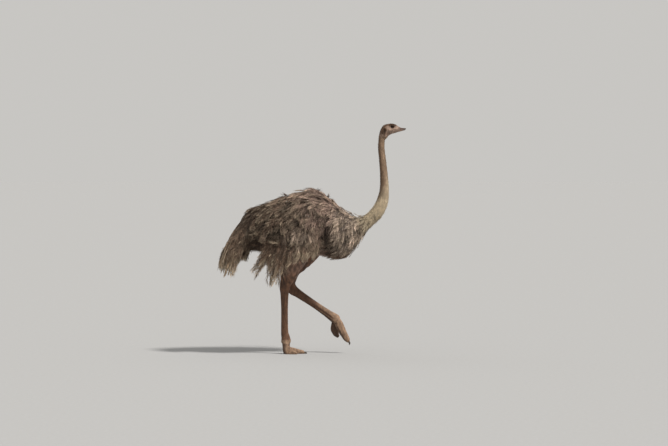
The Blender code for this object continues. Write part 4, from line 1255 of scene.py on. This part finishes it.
def stray_wisps(coat, seed, each=16):
    """Small bunches of single barbs along the back, rooted in the coat."""
    rng = np.random.default_rng(seed)
    line = body.points[:, 0]
    for x, spread, length, lean in STRAY_WISPS:
        on_back = np.arange(len(line))[line[:, 2] < 1.36]
        near = on_back[np.argmin(np.abs(line[on_back, 0] - x))]
        u = near + rng.normal(0, 1, each) * spread / 0.008
        v = rng.normal(0, 4.0, each)
        point, normal, _, across = body.at(u, v)
        heading = unit(normal + np.array((lean, 0.0, 0.0)) + rng.normal(0, 0.16, (each, 3)))
        colour = np.tile(DARK_BROWN * (0.85, 0.75, 0.68), (each, 1))
        add_hairs(coat, point - normal * 0.010, unit(across), heading, length, 0.0024, colour,
                  colour * 1.3, body_map(u, v), seed + 1, lift=0.0, segments=3, loose=0.22)
        seed += 2


def wing_feathers(coat, sheet, seed):
    """Coverts over the folded wing."""
    rng = np.random.default_rng(seed)
    u, v = sheet.scatter(even(0.0235), lambda p, n: np.ones(len(p)), seed)
    point = sheet.at(u, v)[0]
    many = len(u)
    steep = ramp(0.0, 0.30, point[:, 0])
    wish = np.stack((-0.85 + 0.45 * steep, 0 * steep, -0.62 - 0.5 * steep), -1)
    wish = unit(wish + wander_at(point, 0.08) * 0.38 + rng.normal(0, 0.12, (many, 3)))
    size = rng.uniform(0.72, 1.2, many)
    tip = np.minimum(rng.normal(-0.010, 0.009, many) + 0.005 * drift(point, 0.06, 2), 0.006)
    heights = plume_heights(-0.036, tip, 6, rng.uniform(0.000, 0.008, many))
    lines, normals = sheet.lay(u, v, wish, 0.120 * size, 6, 0.45, rng.normal(0, 0.55, many),
                               heights)
    # the lowest coverts have the palest barbs
    low = ramp(1.02, 0.94, point[:, 2]) * ramp(-0.15, -0.05, point[:, 0])
    add_plumes(coat, lines, normals, 0.060 * size, plume_tints(rng, point, 1.4),
               sheet_map(sheet, u, v), seed + 1, per_side=16, fringe=0.75 + 0.75 * low,
               blade=0.0034, loose=1.50, wave=0.28)


# Where along the wing each share of the plumes is rooted: they end well before its tip,
# and on the right those of the clump hang straight down between two groups that sweep back.
PLUME_ROOTS = {
    RIGHT: ((0.0, 0.42, 0.421, 0.64, 0.641, 1.0), (0.0, 0.48, 0.51, 0.72, 0.54, 0.745)),
    LEFT: ((0.0, 1.0), (0.0, 0.78)),
}
PLUME_TIPS_END = 0.875
CLUMP = np.array((-0.100, 0.590))


def hanging_plumes(coat, side, sheet, seed, count=150, locks=10):
    """Long loose plumes under the wing, from its lower edge to their tips, in locks."""
    rng = np.random.default_rng(seed)
    name = "right" if side == RIGHT else "left"
    tree = side_tree(("wing_plumes_" + name, "wing_" + name))
    tips = np.array(PLUME_TIPS[side])
    steps = 9
    share = np.linspace(0, 1, steps + 1)
    q = (np.arange(count) + rng.uniform(0, 1, count)) / count
    root_share = np.interp(q, *PLUME_ROOTS[side])
    rows = spline(WING_ROWS, root_share * (len(WING_ROWS) - 1))
    up = rng.uniform(0.02, 0.42, count)
    root = rows[:, 2:4] * (1 - up[:, None]) + rows[:, 0:2] * up[:, None]
    # locks are uneven in width and length, and draw the tips of their plumes together
    place = q * locks + 0.38 * np.sin(q * 21.0 + side)
    own_lock = np.floor(place)
    off_lock = own_lock + 0.5 - place
    end = np.clip(q + 0.62 * off_lock / locks, 0, 1) * PLUME_TIPS_END
    tip = np.stack([np.interp(end, tips[:, 0], tips[:, column]) for column in (1, 2)], -1)
    reach = rng.choice((0.66, 0.84, 0.99), count, p=(0.24, 0.30, 0.46))
    reach = reach * rng.uniform(0.92, 1.02, count) - 0.20 * np.abs(off_lock)
    reach = reach * (0.97 + 0.09 * np.sin(own_lock * 2.6 + side))
    reach = reach * (1 + 0.07 * ramp(0.42, 0.25, q))
    if side == RIGHT:
        # one broad clump hangs behind the thigh
        clump = (q > 0.42) & (q < 0.64)
        middle = CLUMP + (q[clump, None] - 0.53) * (-0.26, 0.0)
        tip[clump] = middle + rng.normal(0, 1, (clump.sum(), 2)) * (0.014, 0.012)
        reach[clump] = rng.choice((0.76, 0.88, 1.0), clump.sum(), p=(0.35, 0.3, 0.35))
    tip = root + (tip - root) * reach[:, None]
    x = root[:, :1] + (tip - root)[:, :1] * share[None] ** 1.5
    z = root[:, 1:] + (tip - root)[:, 1:] * share[None]
    turns = share[None] * rng.uniform(5, 11, count)[:, None] + rng.uniform(0, 6.28, count)[:, None]
    sway = rng.uniform(0.004, 0.014, count) * np.where(np.abs(q - 0.53) < 0.11, 1.8, 1.0)
    x = x + sway[:, None] * np.sin(turns) * share[None]
    base = np.interp(z, (0.56, 0.75, 0.95, 1.2), (0.150, 0.200, 0.236, 0.20)) * side
    y = side_y(tree, x, z, side, base)
    for _ in range(6):
        y[:, 1:-1] = (y[:, :-2] + y[:, 2:] + 2 * y[:, 1:-1]) / 4
    layer = 0.006 + rng.uniform(0.000, 0.034, count)[:, None] * (1 - 0.3 * share[None])
    layer = layer + rng.uniform(0.002, 0.009, count)[:, None] * np.cos(turns) * share[None]
    lines = np.stack((x, y - side * layer, z), -1)
    outward = np.array((0.0, side, 0.0)) + 0 * lines
    outward = outward + rng.normal(0, 0.25, (count, 1, 3))
    barb = rng.uniform(0.046, 0.066, count) * np.interp(q, (0.9, 1.0), (1.0, 0.7))
    maps = sheet_map(sheet, q * 59, (1 - up) * 35)
    # the rear plumes are dark but for their tips; those in front are pale along their barbs
    tints = np.interp(q, (0.36, 0.46), (1.85, 1.08)) * plume_tints(rng, lines[:, 5], 1.2)
    add_plumes(coat, lines, outward, barb, tints, maps, seed + 1, per_side=26,
               fringe=np.interp(q, (0.36, 0.46), (1.5, 0.75)), blade=0.0030, loose=1.8,
               wave=0.30, droop=0.40, quill=0.0012, spread=0.85, cream=0.65)


def tail_plumes(coat, seed, locks=13):
    """Long drooping plumes of the tail, from the rump to ragged locks at their tips."""
    rng = np.random.default_rng(seed)
    per_row = (BODY_RINGS - 1) / (len(BODY_ROWS) - 1)

    def keep(points, normals):
        return (points[:, 0] < -0.25) * (points[:, 2] > 0.84) * 1.0

    u, v = body.scatter(even(0.031), keep, seed)
    many = len(u)
    place = v / BODY_SIDES * locks
    off_lock = np.floor(place) + 0.5 - place
    # the end is highest at the rear and at the front, lowest half way between them
    upwards = np.cos(v * 2 * math.pi / BODY_SIDES)
    end = 0.42 * upwards ** 2 + 0.55 * ramp(0.2, -1.0, upwards)
    end = end + 0.10 + 0.55 * ramp(-0.35, -1.0, upwards) + 0.9 * np.abs(off_lock)
    end = end + rng.uniform(-0.02, 0.42, many) ** 2 * 1.6
    run = run_at(u, v) - run_at(np.maximum(end * per_row, 0.02), v)
    length = np.clip(run, 0.06, 0.46)
    size = rng.uniform(0.8, 1.15, many)
    point, _, along, across = body.at(u, v)
    wide = np.linalg.norm(across, axis=1)
    gather = 0.55 * off_lock * BODY_SIDES / locks * wide / length
    wish = -unit(along) + unit(across) * gather[:, None]
    wish = unit(wish + wander_at(point, 0.09) * 0.12 + rng.normal(0, 0.05, (many, 3)))
    tip = rng.uniform(-0.020, 0.004, many)
    heights = plume_heights(-0.034, tip, 9, rng.uniform(0.0, 0.010, many))
    lines, normals = body.lay(u, v, wish, length, 9, 0.25, rng.normal(0, 0.25, many), heights)
    add_plumes(coat, lines, normals, 0.056 * size, plume_tints(rng, point), body_map(u, v),
               seed + 1, per_side=26, fringe=1.35, blade=0.0034, loose=1.3, wave=0.20,
               droop=0.52, quill=0.0013, spread=0.80, cream=0.85)


def neck_down(coat, seed):
    """Short down, cream and close on the lower neck, thin and bristly above."""
    rng = np.random.default_rng(seed)
    for gap, low, high, each in ((0.0062, 0.60, 1.34, 4), (0.0052, 1.28, 1.80, 3)):
        def keep(points, normals):
            x, z = points[:, 0], points[:, 2]
            place = ramp(0.560, 0.625, neckwards(x, z)) * (x > 0.5)
            if low > 1:
                place = ramp(low, low + 0.10, z) * (x > 0.5)
            return place * ramp(high, high - 0.06, z)

        u, v = body.scatter(even(gap), keep, seed, tries=6)
        u, v = np.repeat(u, each), np.repeat(v, each)
        u = u + rng.normal(0, 0.6, len(u))
        v = v + rng.normal(0, 1.6, len(v))
        point, normal, along, _ = body.at(u, v)
        origin = point - normal * skin_depth(u, v)[:, None]
        z = point[:, 2]
        fluff = ramp(1.40, 1.15, z)
        heading = unit(-unit(along) + rng.normal(0, 0.25, point.shape))
        colour = coat_colour(point)
        length = 0.0095 + 0.0165 * fluff
        width = 0.0007 + 0.0012 * fluff
        pale = np.maximum(colour, np.minimum(NECK_PALE * 0.95, colour * 3.0))
        tips = mix(colour, pale, 0.32 + 0.25 * fluff)
        add_hairs(coat, origin, normal, heading, length, width, colour, tips, body_map(u, v),
                  seed + 1, lift=0.34, loose=0.5, droop=0.15)
        seed += 7


def skin_hairs(skin):
    """Bristles of the head, lashes and the tuft over the ear, rooted on the skin."""
    coat = Coat("head_bristles", "neck_down")
    rng = np.random.default_rng(77)
    mesh = skin.data
    points, normals = coordinates(mesh), vertex_normals(mesh)
    head = np.nonzero((points[:, 2] > 1.775) & (points[:, 0] > 0.755) & (points[:, 0] < 0.915))[0]
    x, _, z = points[head].T
    eye = np.hypot((x - EYE[0]) / 0.0150, (z - EYE[2]) / 0.0115)
    crown = ramp(1.864, 1.880, z) + ramp(0.835, 0.812, x)
    chance = np.clip(0.16 + 0.50 * crown, 0, 0.6) * (eye > 1.15) * ramp(0.918, 0.900, x)
    chosen = head[rng.uniform(0, 1, len(head)) < chance]
    p, n = points[chosen], normals[chosen]
    back = np.array((-1.0, 0.0, -0.15))
    lie = unit(back - n * (n @ back)[:, None] + rng.normal(0, 0.22, p.shape))
    on_crown = np.clip(ramp(1.864, 1.880, p[:, 2]) + ramp(0.835, 0.812, p[:, 0]), 0, 1)
    colour = head_colour(p, coat_colour(p)) * (0.95 - 0.25 * on_crown)[:, None]
    maps = np.stack((0.02 + 0.96 * (p[:, 0] - 0.74) / 0.20,
                     0.5 + 0.46 * np.arctan2(p[:, 1], p[:, 2] - 1.85) / math.pi), -1)
    add_hairs(coat, p - n * 0.0004, n, lie, 0.0036 + 0.0050 * on_crown,
              0.0004 + 0.0004 * on_crown, colour, colour * 1.15, maps, 78, lift=0.22)
    for side in (RIGHT, LEFT):
        # lashes
        turn = np.linspace(-0.30, math.pi + 0.22, 34)
        ex, ez = 0.0150 * np.cos(turn), 0.0104 * np.sin(turn)
        cos, sin = math.cos(EYE_TILT), math.sin(EYE_TILT)
        dx, dz = ex * cos - ez * sin, ex * sin + ez * cos
        out = EYE[1] + np.sqrt(np.maximum((EYE_RADIUS + 0.0012) ** 2 - dx ** 2 - dz ** 2, 0))
        root = np.stack((EYE[0] + dx, side * out, EYE[2] + dz), -1)
        away = unit(np.stack((dx * 0.6 + 0.002, 0 * dx + side * 0.014, dz * 0.7 + 0.001), -1))
        up = unit(np.stack((dx, 0 * dx, dz), -1))
        dark = np.tile(srgb(38, 26, 20), (len(dx), 1))
        spots = np.stack((0.5 + dx * 5, 0.5 + side * 0.2 + dz * 5), -1)
        add_hairs(coat, root, up, away, 0.0088, 0.0011, dark, dark * 0.8, spots, 80 + side,
                  lift=0.15, segments=3, loose=0.12)
        # tuft over the ear
        many = 70
        spot = rng.normal(0, 1, (many, 2)) * (0.0035, 0.0045)
        root = np.stack((EAR[0] + 0.004 + spot[:, 0], np.full(many, side * 0.0338),
                         EAR[2] + spot[:, 1]), -1)
        lie = unit(np.array((-1.0, side * 0.35, -0.1)) + rng.normal(0, 0.2, (many, 3)))
        tone = np.tile(NECK_DARK * 1.1, (many, 1))
        spots = np.stack((0.3 + spot[:, 0] * 8, 0.5 + side * 0.2 + spot[:, 1] * 8), -1)
        add_hairs(coat, root, np.tile((0.0, float(side), 0.0), (many, 1)), lie, 0.010, 0.0009,
                  tone, tone * 1.3, spots, 90 + side)
    return coat


# ------------------------------------------------------------------- materials
class Nodes:
    """A short way to write a node tree."""

    def __init__(self, name):
        self.material = bpy.data.materials.new(name)
        self.material.use_nodes = True
        self.tree = self.material.node_tree
        self.shader = self.tree.nodes["Principled BSDF"]

    def add(self, kind, links=(), **values):
        node = self.tree.nodes.new("ShaderNode" + kind)
        for key, value in values.items():
            if hasattr(node, key):
                setattr(node, key, value)
            else:
                node.inputs[key.replace("_", " ")].default_value = value
        for socket, source in links:
            self.tree.links.new(source, node.inputs[socket])
        return node

    def place(self):
        return self.add("TexCoord").outputs["Object"]

    def tone(self):
        return self.add("Attribute", attribute_name="tone").outputs["Color"]

    def noise(self, scale, detail, rough, where):
        """Noise of 0 to 1; the larger its scale, the smaller its lumps."""
        links = [("Vector", where)]
        node = self.add("TexNoise", links, Scale=scale, Detail=detail, Roughness=rough)
        return node.outputs["Fac"]

    def stretched(self, where, *scale):
        return self.add("Mapping", [("Vector", where)], Scale=scale).outputs["Vector"]

    def ramp(self, source, stops):
        node = self.add("ValToRGB", [("Fac", source)])
        bar = node.color_ramp.elements
        while len(bar) < len(stops):
            bar.new(0.5)
        for element, (place, value) in zip(bar, stops):
            element.position = place
            value = (value,) * 3 if np.isscalar(value) else tuple(value)
            element.color = (*value, 1.0)
        return node.outputs["Color"]

    def math(self, operation, first, second):
        node = self.tree.nodes.new("ShaderNodeMath")
        node.operation = operation
        for socket, value in zip(node.inputs, (first, second)):
            if isinstance(value, (int, float)):
                socket.default_value = value
            else:
                self.tree.links.new(value, socket)
        return node.outputs[0]

    def blend(self, kind, amount, first, second):
        node = self.tree.nodes.new("ShaderNodeMix")
        node.data_type, node.blend_type = "RGBA", kind
        for name, value in (("Factor_Float", amount), ("A_Color", first), ("B_Color", second)):
            socket = next(s for s in node.inputs if s.identifier == name)
            if isinstance(value, (int, float)):
                socket.default_value = value
            elif isinstance(value, (tuple, list, np.ndarray)):
                socket.default_value = (*value, 1.0)
            else:
                self.tree.links.new(value, socket)
        return next(s for s in node.outputs if s.identifier == "Result_Color")

    def times(self, colour, source, *stops):
        """The colour made darker and lighter by a source."""
        return self.blend("MULTIPLY", 1.0, colour, self.ramp(source, stops))

    def slope(self, source, start, steepness):
        return self.math("MULTIPLY", self.math("SUBTRACT", source, start), steepness)

    def set(self, colour=None, rough=None, height=None, strength=0.3, distance=0.001, **fixed):
        links, shader = self.tree.links, self.shader
        if colour is not None:
            links.new(colour, shader.inputs["Base Color"])
        if rough is not None:
            links.new(rough, shader.inputs["Roughness"])
        if height is not None:
            bump = self.add("Bump", [("Height", height)], Strength=strength, Distance=distance)
            links.new(bump.outputs["Normal"], shader.inputs["Normal"])
        for key, value in fixed.items():
            shader.inputs[key.replace("_", " ")].default_value = value
        return self.material


WHITE = (1.0, 1.0, 1.0)


def coat_material(name, grain, rough):
    n = Nodes(name)
    where = n.place()
    fine = n.noise(grain, 3.0, 0.6, where)
    broad = n.noise(38.0, 2.0, 0.5, where)
    colour = n.times(n.tone(), fine, (0.25, 0.74), (0.75, 1.26))
    colour = n.times(colour, broad, (0.3, 0.88), (0.7, 1.12))
    rough = n.ramp(fine, ((0.3, rough - 0.08), (0.7, rough + 0.08)))
    return n.set(colour, rough, fine, 0.25, 0.0004, Specular_IOR_Level=0.25)


def skin_material():
    n = Nodes("skin")
    where = n.place()
    long_way = n.stretched(where, 1.0, 1.0, 0.45)
    mottle = n.noise(62.0, 6.0, 0.68, long_way)
    pores = n.noise(700.0, 3.0, 0.6, where)
    creases = n.noise(150.0, 6.0, 0.75, long_way)
    streaks = n.noise(85.0, 4.0, 0.6, n.stretched(where, 1.0, 1.0, 0.20))
    cells = n.add("TexVoronoi", [("Vector", where)], feature="DISTANCE_TO_EDGE", Scale=290.0)
    scaly = n.add("Attribute", attribute_name="scaly").outputs["Fac"]
    edges = n.ramp(cells.outputs["Distance"], ((0.0, 0.0), (0.16, 1.0)))
    scaled = n.blend("MIX", scaly, WHITE, edges)
    colour = n.times(n.tone(), mottle, (0.32, 0.66), (0.68, 1.36))
    colour = n.times(colour, creases, (0.35, 0.80), (0.6, 1.12))
    colour = n.times(colour, streaks, (0.36, 0.74), (0.64, 1.24))
    darker = n.blend("MIX", n.math("MULTIPLY", scaly, 0.20), WHITE, edges)
    colour = n.blend("MULTIPLY", 1.0, colour, darker)
    height = n.math("ADD", n.math("MULTIPLY", creases, 1.6), n.math("MULTIPLY", pores, 0.25))
    height = n.math("ADD", height, n.math("MULTIPLY", scaled, 0.6))
    rough = n.ramp(mottle, ((0.3, 0.50), (0.7, 0.68)))
    return n.set(colour, rough, height, 0.50, 0.0016, Specular_IOR_Level=0.35)


def bill_material():
    n = Nodes("bill_horn")
    where = n.place()
    x, y, z = n.add("SeparateXYZ", [("Vector", where)]).outputs
    grain = n.noise(1.0, 4.0, 0.6, n.stretched(where, 60.0, 420.0, 260.0))
    side = n.math("ABSOLUTE", y, 0.0)
    along = n.slope(x, 0.905, 12.0)
    upper = n.ramp(along, ((0.20, srgb(139, 115, 99)), (0.32, srgb(104, 76, 58)),
                           (0.44, srgb(70, 44, 28)), (1.0, srgb(50, 32, 22))))
    lower = n.ramp(along, ((0.20, srgb(139, 115, 99)), (0.60, srgb(150, 124, 108)),
                           (0.85, srgb(104, 76, 58)), (1.0, srgb(70, 48, 34))))
    above = n.ramp(n.slope(z, GAPE_Z - 0.0005, 900.0), ((0.0, 0.0), (1.0, 1.0)))
    base = n.blend("MIX", above, lower, upper)
    # the culmen is a brown plate along the top
    over = n.slope(z, GAPE_Z + 0.006, 160.0)
    middle = n.math("ADD", n.math("SUBTRACT", 1.0, n.math("MULTIPLY", side, 62.0)), 0.45)
    plate = n.ramp(n.math("MULTIPLY", over, middle), ((0.25, 0.0), (0.8, 1.0)))
    plate = n.math("MULTIPLY", plate, n.ramp(along, ((0.24, 0.0), (0.42, 0.8))))
    colour = n.blend("MIX", plate, base, tuple(srgb(84, 58, 42)))
    colour = n.times(colour, grain, (0.3, 0.82), (0.7, 1.16))
    # the skin's mottling runs on over the base
    mottle = n.noise(62.0, 6.0, 0.68, n.stretched(where, 1.0, 1.0, 0.45))
    mottle = n.ramp(mottle, ((0.32, 0.66), (0.68, 1.36)))
    near_skin = n.ramp(along, ((0.20, 0.9), (0.46, 0.15)))
    colour = n.blend("MULTIPLY", near_skin, colour, mottle)
    rough = n.ramp(grain, ((0.3, 0.44), (0.7, 0.60)))
    return n.set(colour, rough, grain, 0.35, 0.0004, Specular_IOR_Level=0.35)


def claw_material():
    n = Nodes("claw_horn")
    grain = n.noise(1.0, 4.0, 0.65, n.stretched(n.place(), 90.0, 700.0, 260.0))
    colour = n.ramp(grain, ((0.25, srgb(34, 26, 20)), (0.6, srgb(66, 50, 38)),
                            (0.8, srgb(98, 78, 60))))
    rough = n.ramp(grain, ((0.3, 0.34), (0.7, 0.5)))
    return n.set(colour, rough, grain, 0.35, 0.0004, Specular_IOR_Level=0.5)


def eye_material():
    """Pupil, brown iris and dark rim, by distance from the eye's own axis."""
    n = Nodes("eye")
    where = n.place()
    split = n.add("SeparateXYZ", [("Vector", where)])
    x = n.math("SUBTRACT", split.outputs[0], float(EYE[0] + 0.0012))
    z = n.math("SUBTRACT", split.outputs[2], float(EYE[2]))
    span = n.math("SQRT", n.math("ADD", n.math("MULTIPLY", x, x), n.math("MULTIPLY", z, z)), 0.0)
    fibres = n.noise(900.0, 3.0, 0.6, where)
    ring = n.math("ADD", n.math("MULTIPLY", span, 60.0), n.math("MULTIPLY", fibres, 0.04))
    colour = n.ramp(ring, ((0.0, srgb(3, 3, 3)), (0.33, srgb(4, 3, 3)), (0.38, srgb(50, 30, 18)),
                           (0.56, srgb(66, 41, 25)), (0.68, srgb(18, 11, 8)),
                           (1.0, srgb(24, 16, 13))))
    return n.set(colour, Roughness=0.03, Specular_IOR_Level=0.14)


# ----------------------------------------------------------------- horny parts
def bill_object(name, rows, up):
    """One half of the bill: an arched plate over or under a flat gape."""
    places = even_places([(r[0], r[1]) for r in rows], 0.0012)
    found = spline(rows, places)
    turn = np.linspace(0.0, math.pi, 40)
    gape = GAPE_Z + up * 0.00045
    x = found[:, :1] + 0 * turn[None]
    y = found[:, 2:3] * powered(np.cos(turn), 0.86)
    z = gape + (found[:, 1:2] - gape) * np.sin(turn)[None] ** (0.80 if up > 0 else 0.70)
    if up > 0:
        share = (places / (len(rows) - 1))[:, None]
        off, off_edge = np.abs(y), np.sin(turn) > 0.2
        # raised culmen, a groove on each side of it and a nail at the tip
        z = z + 0.0007 * bell(y, 0.0, 0.0050) * ramp(0.1, 0.3, share)
        groove = 0.0012 * bell(off, 0.0085, 0.0022)
        z = z - groove * ramp(0.15, 0.3, share) * ramp(0.85, 0.7, share)
        z = z + 0.0014 * ramp(0.80, 0.90, share) * bell(y, 0.0, 0.009) * off_edge
        # nostrils, slits half way along, with raised rims
        z = z - 0.0034 * spot_at(x, off, (0.9445, 0.0092), (0.0048, 0.0014)) * off_edge
        z = z + 0.0010 * spot_at(x, off, (0.9445, 0.0128), (0.0070, 0.0018)) * off_edge
    # the cutting edge: a thin lip along the gape
    y = y * (1.0 + 0.012 * bell(np.sin(turn), 0.0, 0.16))
    bottom = np.linspace(-1.0, 1.0, 20)[1:-1]
    flat_y = bottom[None] * found[:, 2:3] * 1.006
    flat_x = found[:, :1] + 0 * flat_y
    flat_z = gape + up * 0.0012 * (1 - bottom[None] ** 2) + 0 * flat_y
    rings = [np.concatenate(pair, 1) for pair in ((x, flat_x), (y, flat_y), (z, flat_z))]
    return grid_object(name, np.stack(rings, -1))


def eye_object(name, side):
    """An eyeball with a slightly domed cornea, facing sideways."""
    turn = full_turn(48)
    lean = np.linspace(0.04, math.pi - 0.04, 30)
    radius = EYE_RADIUS * (1.0 + 0.035 * bell(lean, 0.0, 0.5)) - 0.0001
    x = (radius * np.sin(lean))[:, None] * np.cos(turn)
    z = (radius * np.sin(lean))[:, None] * np.sin(turn)
    y = (radius * np.cos(lean))[:, None] + 0 * x
    return grid_object(name, np.stack((x, side * y, z), -1) + EYE * (1, side, 1))


def claw_object(name, rows):
    places = np.linspace(0, len(rows) - 1, 46)
    rings = tube_sections(rows, places, 32)
    middle = rings.mean(1, keepdims=True)
    ridges = 1.0 + 0.012 * np.sin(places * 21.0) * (places / (len(rows) - 1) < 0.75)
    rings = middle + (rings - middle) * ridges[:, None, None]
    rings[..., 2] = np.maximum(rings[..., 2], 0.0002)
    return grid_object(name, rings)


def place_piece(piece, material, slot, *nodes):
    piece.data.materials.clear()
    piece.data.materials.append(material)
    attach(piece, "root")
    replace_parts(piece, *nodes)


def paint_skin(skin):
    """Set the skin's colours, and where it has small scales."""
    mesh = skin.data
    points = coordinates(mesh)
    tone = np.concatenate((skin_colour(points), np.ones((len(points), 1))), 1)
    mesh.color_attributes.new("tone", "FLOAT_COLOR", "POINT").data.foreach_set(
        "color", tone.astype(np.float32).ravel())
    x, y, z = points.T
    # small scales cover the legs, but not the plates down their front and over the toes
    facing = np.where((y > 0)[:, None], (0.56, 0.0, 0.83), (1.0, 0.0, 0.0))
    facing[(z < 0.12) & (x < 0.2)] = (0.0, 0.0, 1.0)
    facing[(z < 0.40) & (x > 0.40)] = (0.88, 0.0, 0.47)
    plated = ramp(0.55, 0.80, (vertex_normals(mesh) * facing).sum(1))
    scaly = ramp(0.60, 0.50, z) * (1.0 - 0.9 * plated)
    mesh.attributes.new("scaly", "FLOAT", "POINT").data.foreach_set(
        "value", scaly.astype(np.float32))


# ------------------------------------------------------------------- the bird
sheets = {side: wing_sheet(side) for side in (RIGHT, LEFT)}
skin = build_skin(sheets)
paint_skin(skin)
place_piece(skin, skin_material(), "bare_skin", "trunk", "tail", "wing_right", "wing_left",
            "neck_lower", "neck_middle", "neck_upper", "head", "ear_right", "ear_left",
            "drumstick_right", "drumstick_left", "tarsus_right", "tarsus_left",
            "toe_inner_right", "toe_inner_left", "toe_outer_right", "toe_outer_left")

horn = bill_material()
place_piece(bill_object("bill_top", UPPER_BILL_ROWS, 1), horn, "bill_horn", "bill_upper")
place_piece(bill_object("bill_under", LOWER_BILL_ROWS, -1), horn, "bill_horn", "bill_lower")
eyes, claws = eye_material(), claw_material()
for side, name in ((RIGHT, "right"), (LEFT, "left")):
    place_piece(eye_object("eyeball_" + name, side), eyes, "eye", "eye_" + name)
    place_piece(claw_object("nail_" + name, CLAW_ROWS[side]), claws, "claw_horn", "claw_" + name)

feather = coat_material("body_feather", 900.0, 0.80)
plume = coat_material("pale_plume", 1100.0, 0.78)
down = coat_material("neck_down", 1500.0, 0.85)


def feathered(points, normals):
    """Where the trunk bears contour feathers."""
    x, y, z = points.T
    angle = np.abs(np.arctan2(y, z - 1.07))
    bare = ramp(1.9, 2.15, angle) * ramp(0.42, 0.36, x) * ramp(-0.15, -0.08, x)
    keel = ramp(0.83, 0.805, z)
    place = (1 - bare) * (1 - keel) * (x > -0.40) * ramp(0.70, 0.64, neckwards(x, z))
    under_tail = (x < -0.20) & (z < 0.895 - 0.9 * (x + 0.22))
    return place * ~inside_wing(points, 0.05) * ~under_tail


def zone(low, high):
    """The feathered part of the trunk from x low to x high."""
    return lambda p, n: feathered(p, n) * (p[:, 0] >= low) * (p[:, 0] < high)


def graded(size):
    """A measure that is even, or changes from the breast's sides to its front."""
    rear, front = np.broadcast_to(size, 2)
    return lambda p: rear + (front - rear) * ramp(0.44, 0.62, p[:, 0])


ZONES = (
    # name, x from, x to; gap, length and barb, some with one value behind and one in front;
    # then barbs a side, fringe, barb width, droop
    ("coat_rump", -0.40, -0.14, 0.0265, 0.180, 0.062, 18, 0.50, 0.0036, 0.58),
    ("coat_back_rear", -0.14, 0.08, 0.0255, 0.165, 0.060, 17, 0.70, 0.0036, 0.24),
    ("coat_back_front", 0.08, 0.345, 0.0245, 0.145, 0.056, 16, 0.80, 0.0034, 0.24),
    ("coat_breast_side", 0.345, 0.47, (0.0215, 0.016), (0.105, 0.060), (0.042, 0.026),
     13, 0.85, 0.0032, 0.12),
    ("coat_breast_front", 0.47, 0.72, (0.0215, 0.016), (0.105, 0.058), (0.042, 0.024),
     12, 0.90, 0.0030, 0.12),
)
for index, (name, low, high, *plumage) in enumerate(ZONES):
    sizes = [graded(size) for size in plumage[:3]]
    coat = Coat(name, "body_feather")
    body_feathers(coat, zone(low, high), *sizes, 100 + 10 * index, *plumage[3:])
    if name == "coat_back_front":
        stray_wisps(coat, 150)
    coat.finish(feather)
for side, name in ((RIGHT, "right"), (LEFT, "left")):
    coat = Coat("coat_wing_" + name, "body_feather")
    wing_feathers(coat, sheets[side], 160 + side)
    coat.finish(feather)
    coat = Coat("plumes_" + name, "pale_plume")
    hanging_plumes(coat, side, sheets[side], 180 + side)
    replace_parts(coat.finish(plume), "wing_plumes_" + name)
coat = Coat("coat_tail", "pale_plume")
tail_plumes(coat, 200)
coat.finish(plume)
coat = Coat("coat_neck", "neck_down")
neck_down(coat, 220)
coat.finish(down)
skin_hairs(skin).finish(down)

# ------------------------------------------------------- floor, light, camera
bpy.ops.mesh.primitive_circle_add(vertices=96, radius=60.0, fill_type="NGON")
floor = bpy.context.object
floor.name = "floor"
n = Nodes("floor")
grain = n.noise(30.0, 4.0, 0.6, n.place())
floor.data.materials.append(n.set(
    n.ramp(grain, ((0.3, srgb(166, 166, 166)), (0.7, srgb(170, 170, 170)))), Roughness=0.95,
    height=grain, strength=0.05, Specular_IOR_Level=0.0))

world = bpy.data.worlds.new("studio")
bpy.context.scene.world = world
world.use_nodes = True
sky = world.node_tree.nodes["Background"].inputs
sky["Color"].default_value = (*srgb(234, 232, 228), 1.0)
sky["Strength"].default_value = 0.70


def sun(name, towards, strength, angle, colour):
    lamp = bpy.data.lights.new(name, "SUN")
    lamp.energy, lamp.angle, lamp.color = strength, math.radians(angle), colour
    holder = link(name, lamp)
    holder.rotation_mode = "QUATERNION"
    holder.rotation_quaternion = Vector(towards).to_track_quat("-Z", "Y")


sun("key", (-0.62, 0.46, -0.95), 3.4, 9.0, (1.0, 0.97, 0.925))
sun("fill", (0.5, -0.6, -0.35), 0.5, 60.0, (0.92, 0.96, 1.0))

VIEW_CENTRE = Vector((0.395, 0.0, 1.077))
VIEW_WIDTH = 5.494
DISTANCE = 30.0
TILT = math.radians(2.0)
camera = bpy.data.cameras.new("camera")
camera.sensor_width = 36.0
camera.lens = camera.sensor_width * DISTANCE / VIEW_WIDTH
camera.clip_end = 400.0
viewer = link("camera", camera)
back = Vector((0.0, -math.cos(TILT), math.sin(TILT)))
viewer.location = VIEW_CENTRE + back * DISTANCE
viewer.rotation_mode = "QUATERNION"
viewer.rotation_quaternion = (-back).to_track_quat("-Z", "Y")
bpy.context.scene.camera = viewer
bpy.context.scene.view_settings.view_transform = "Standard"
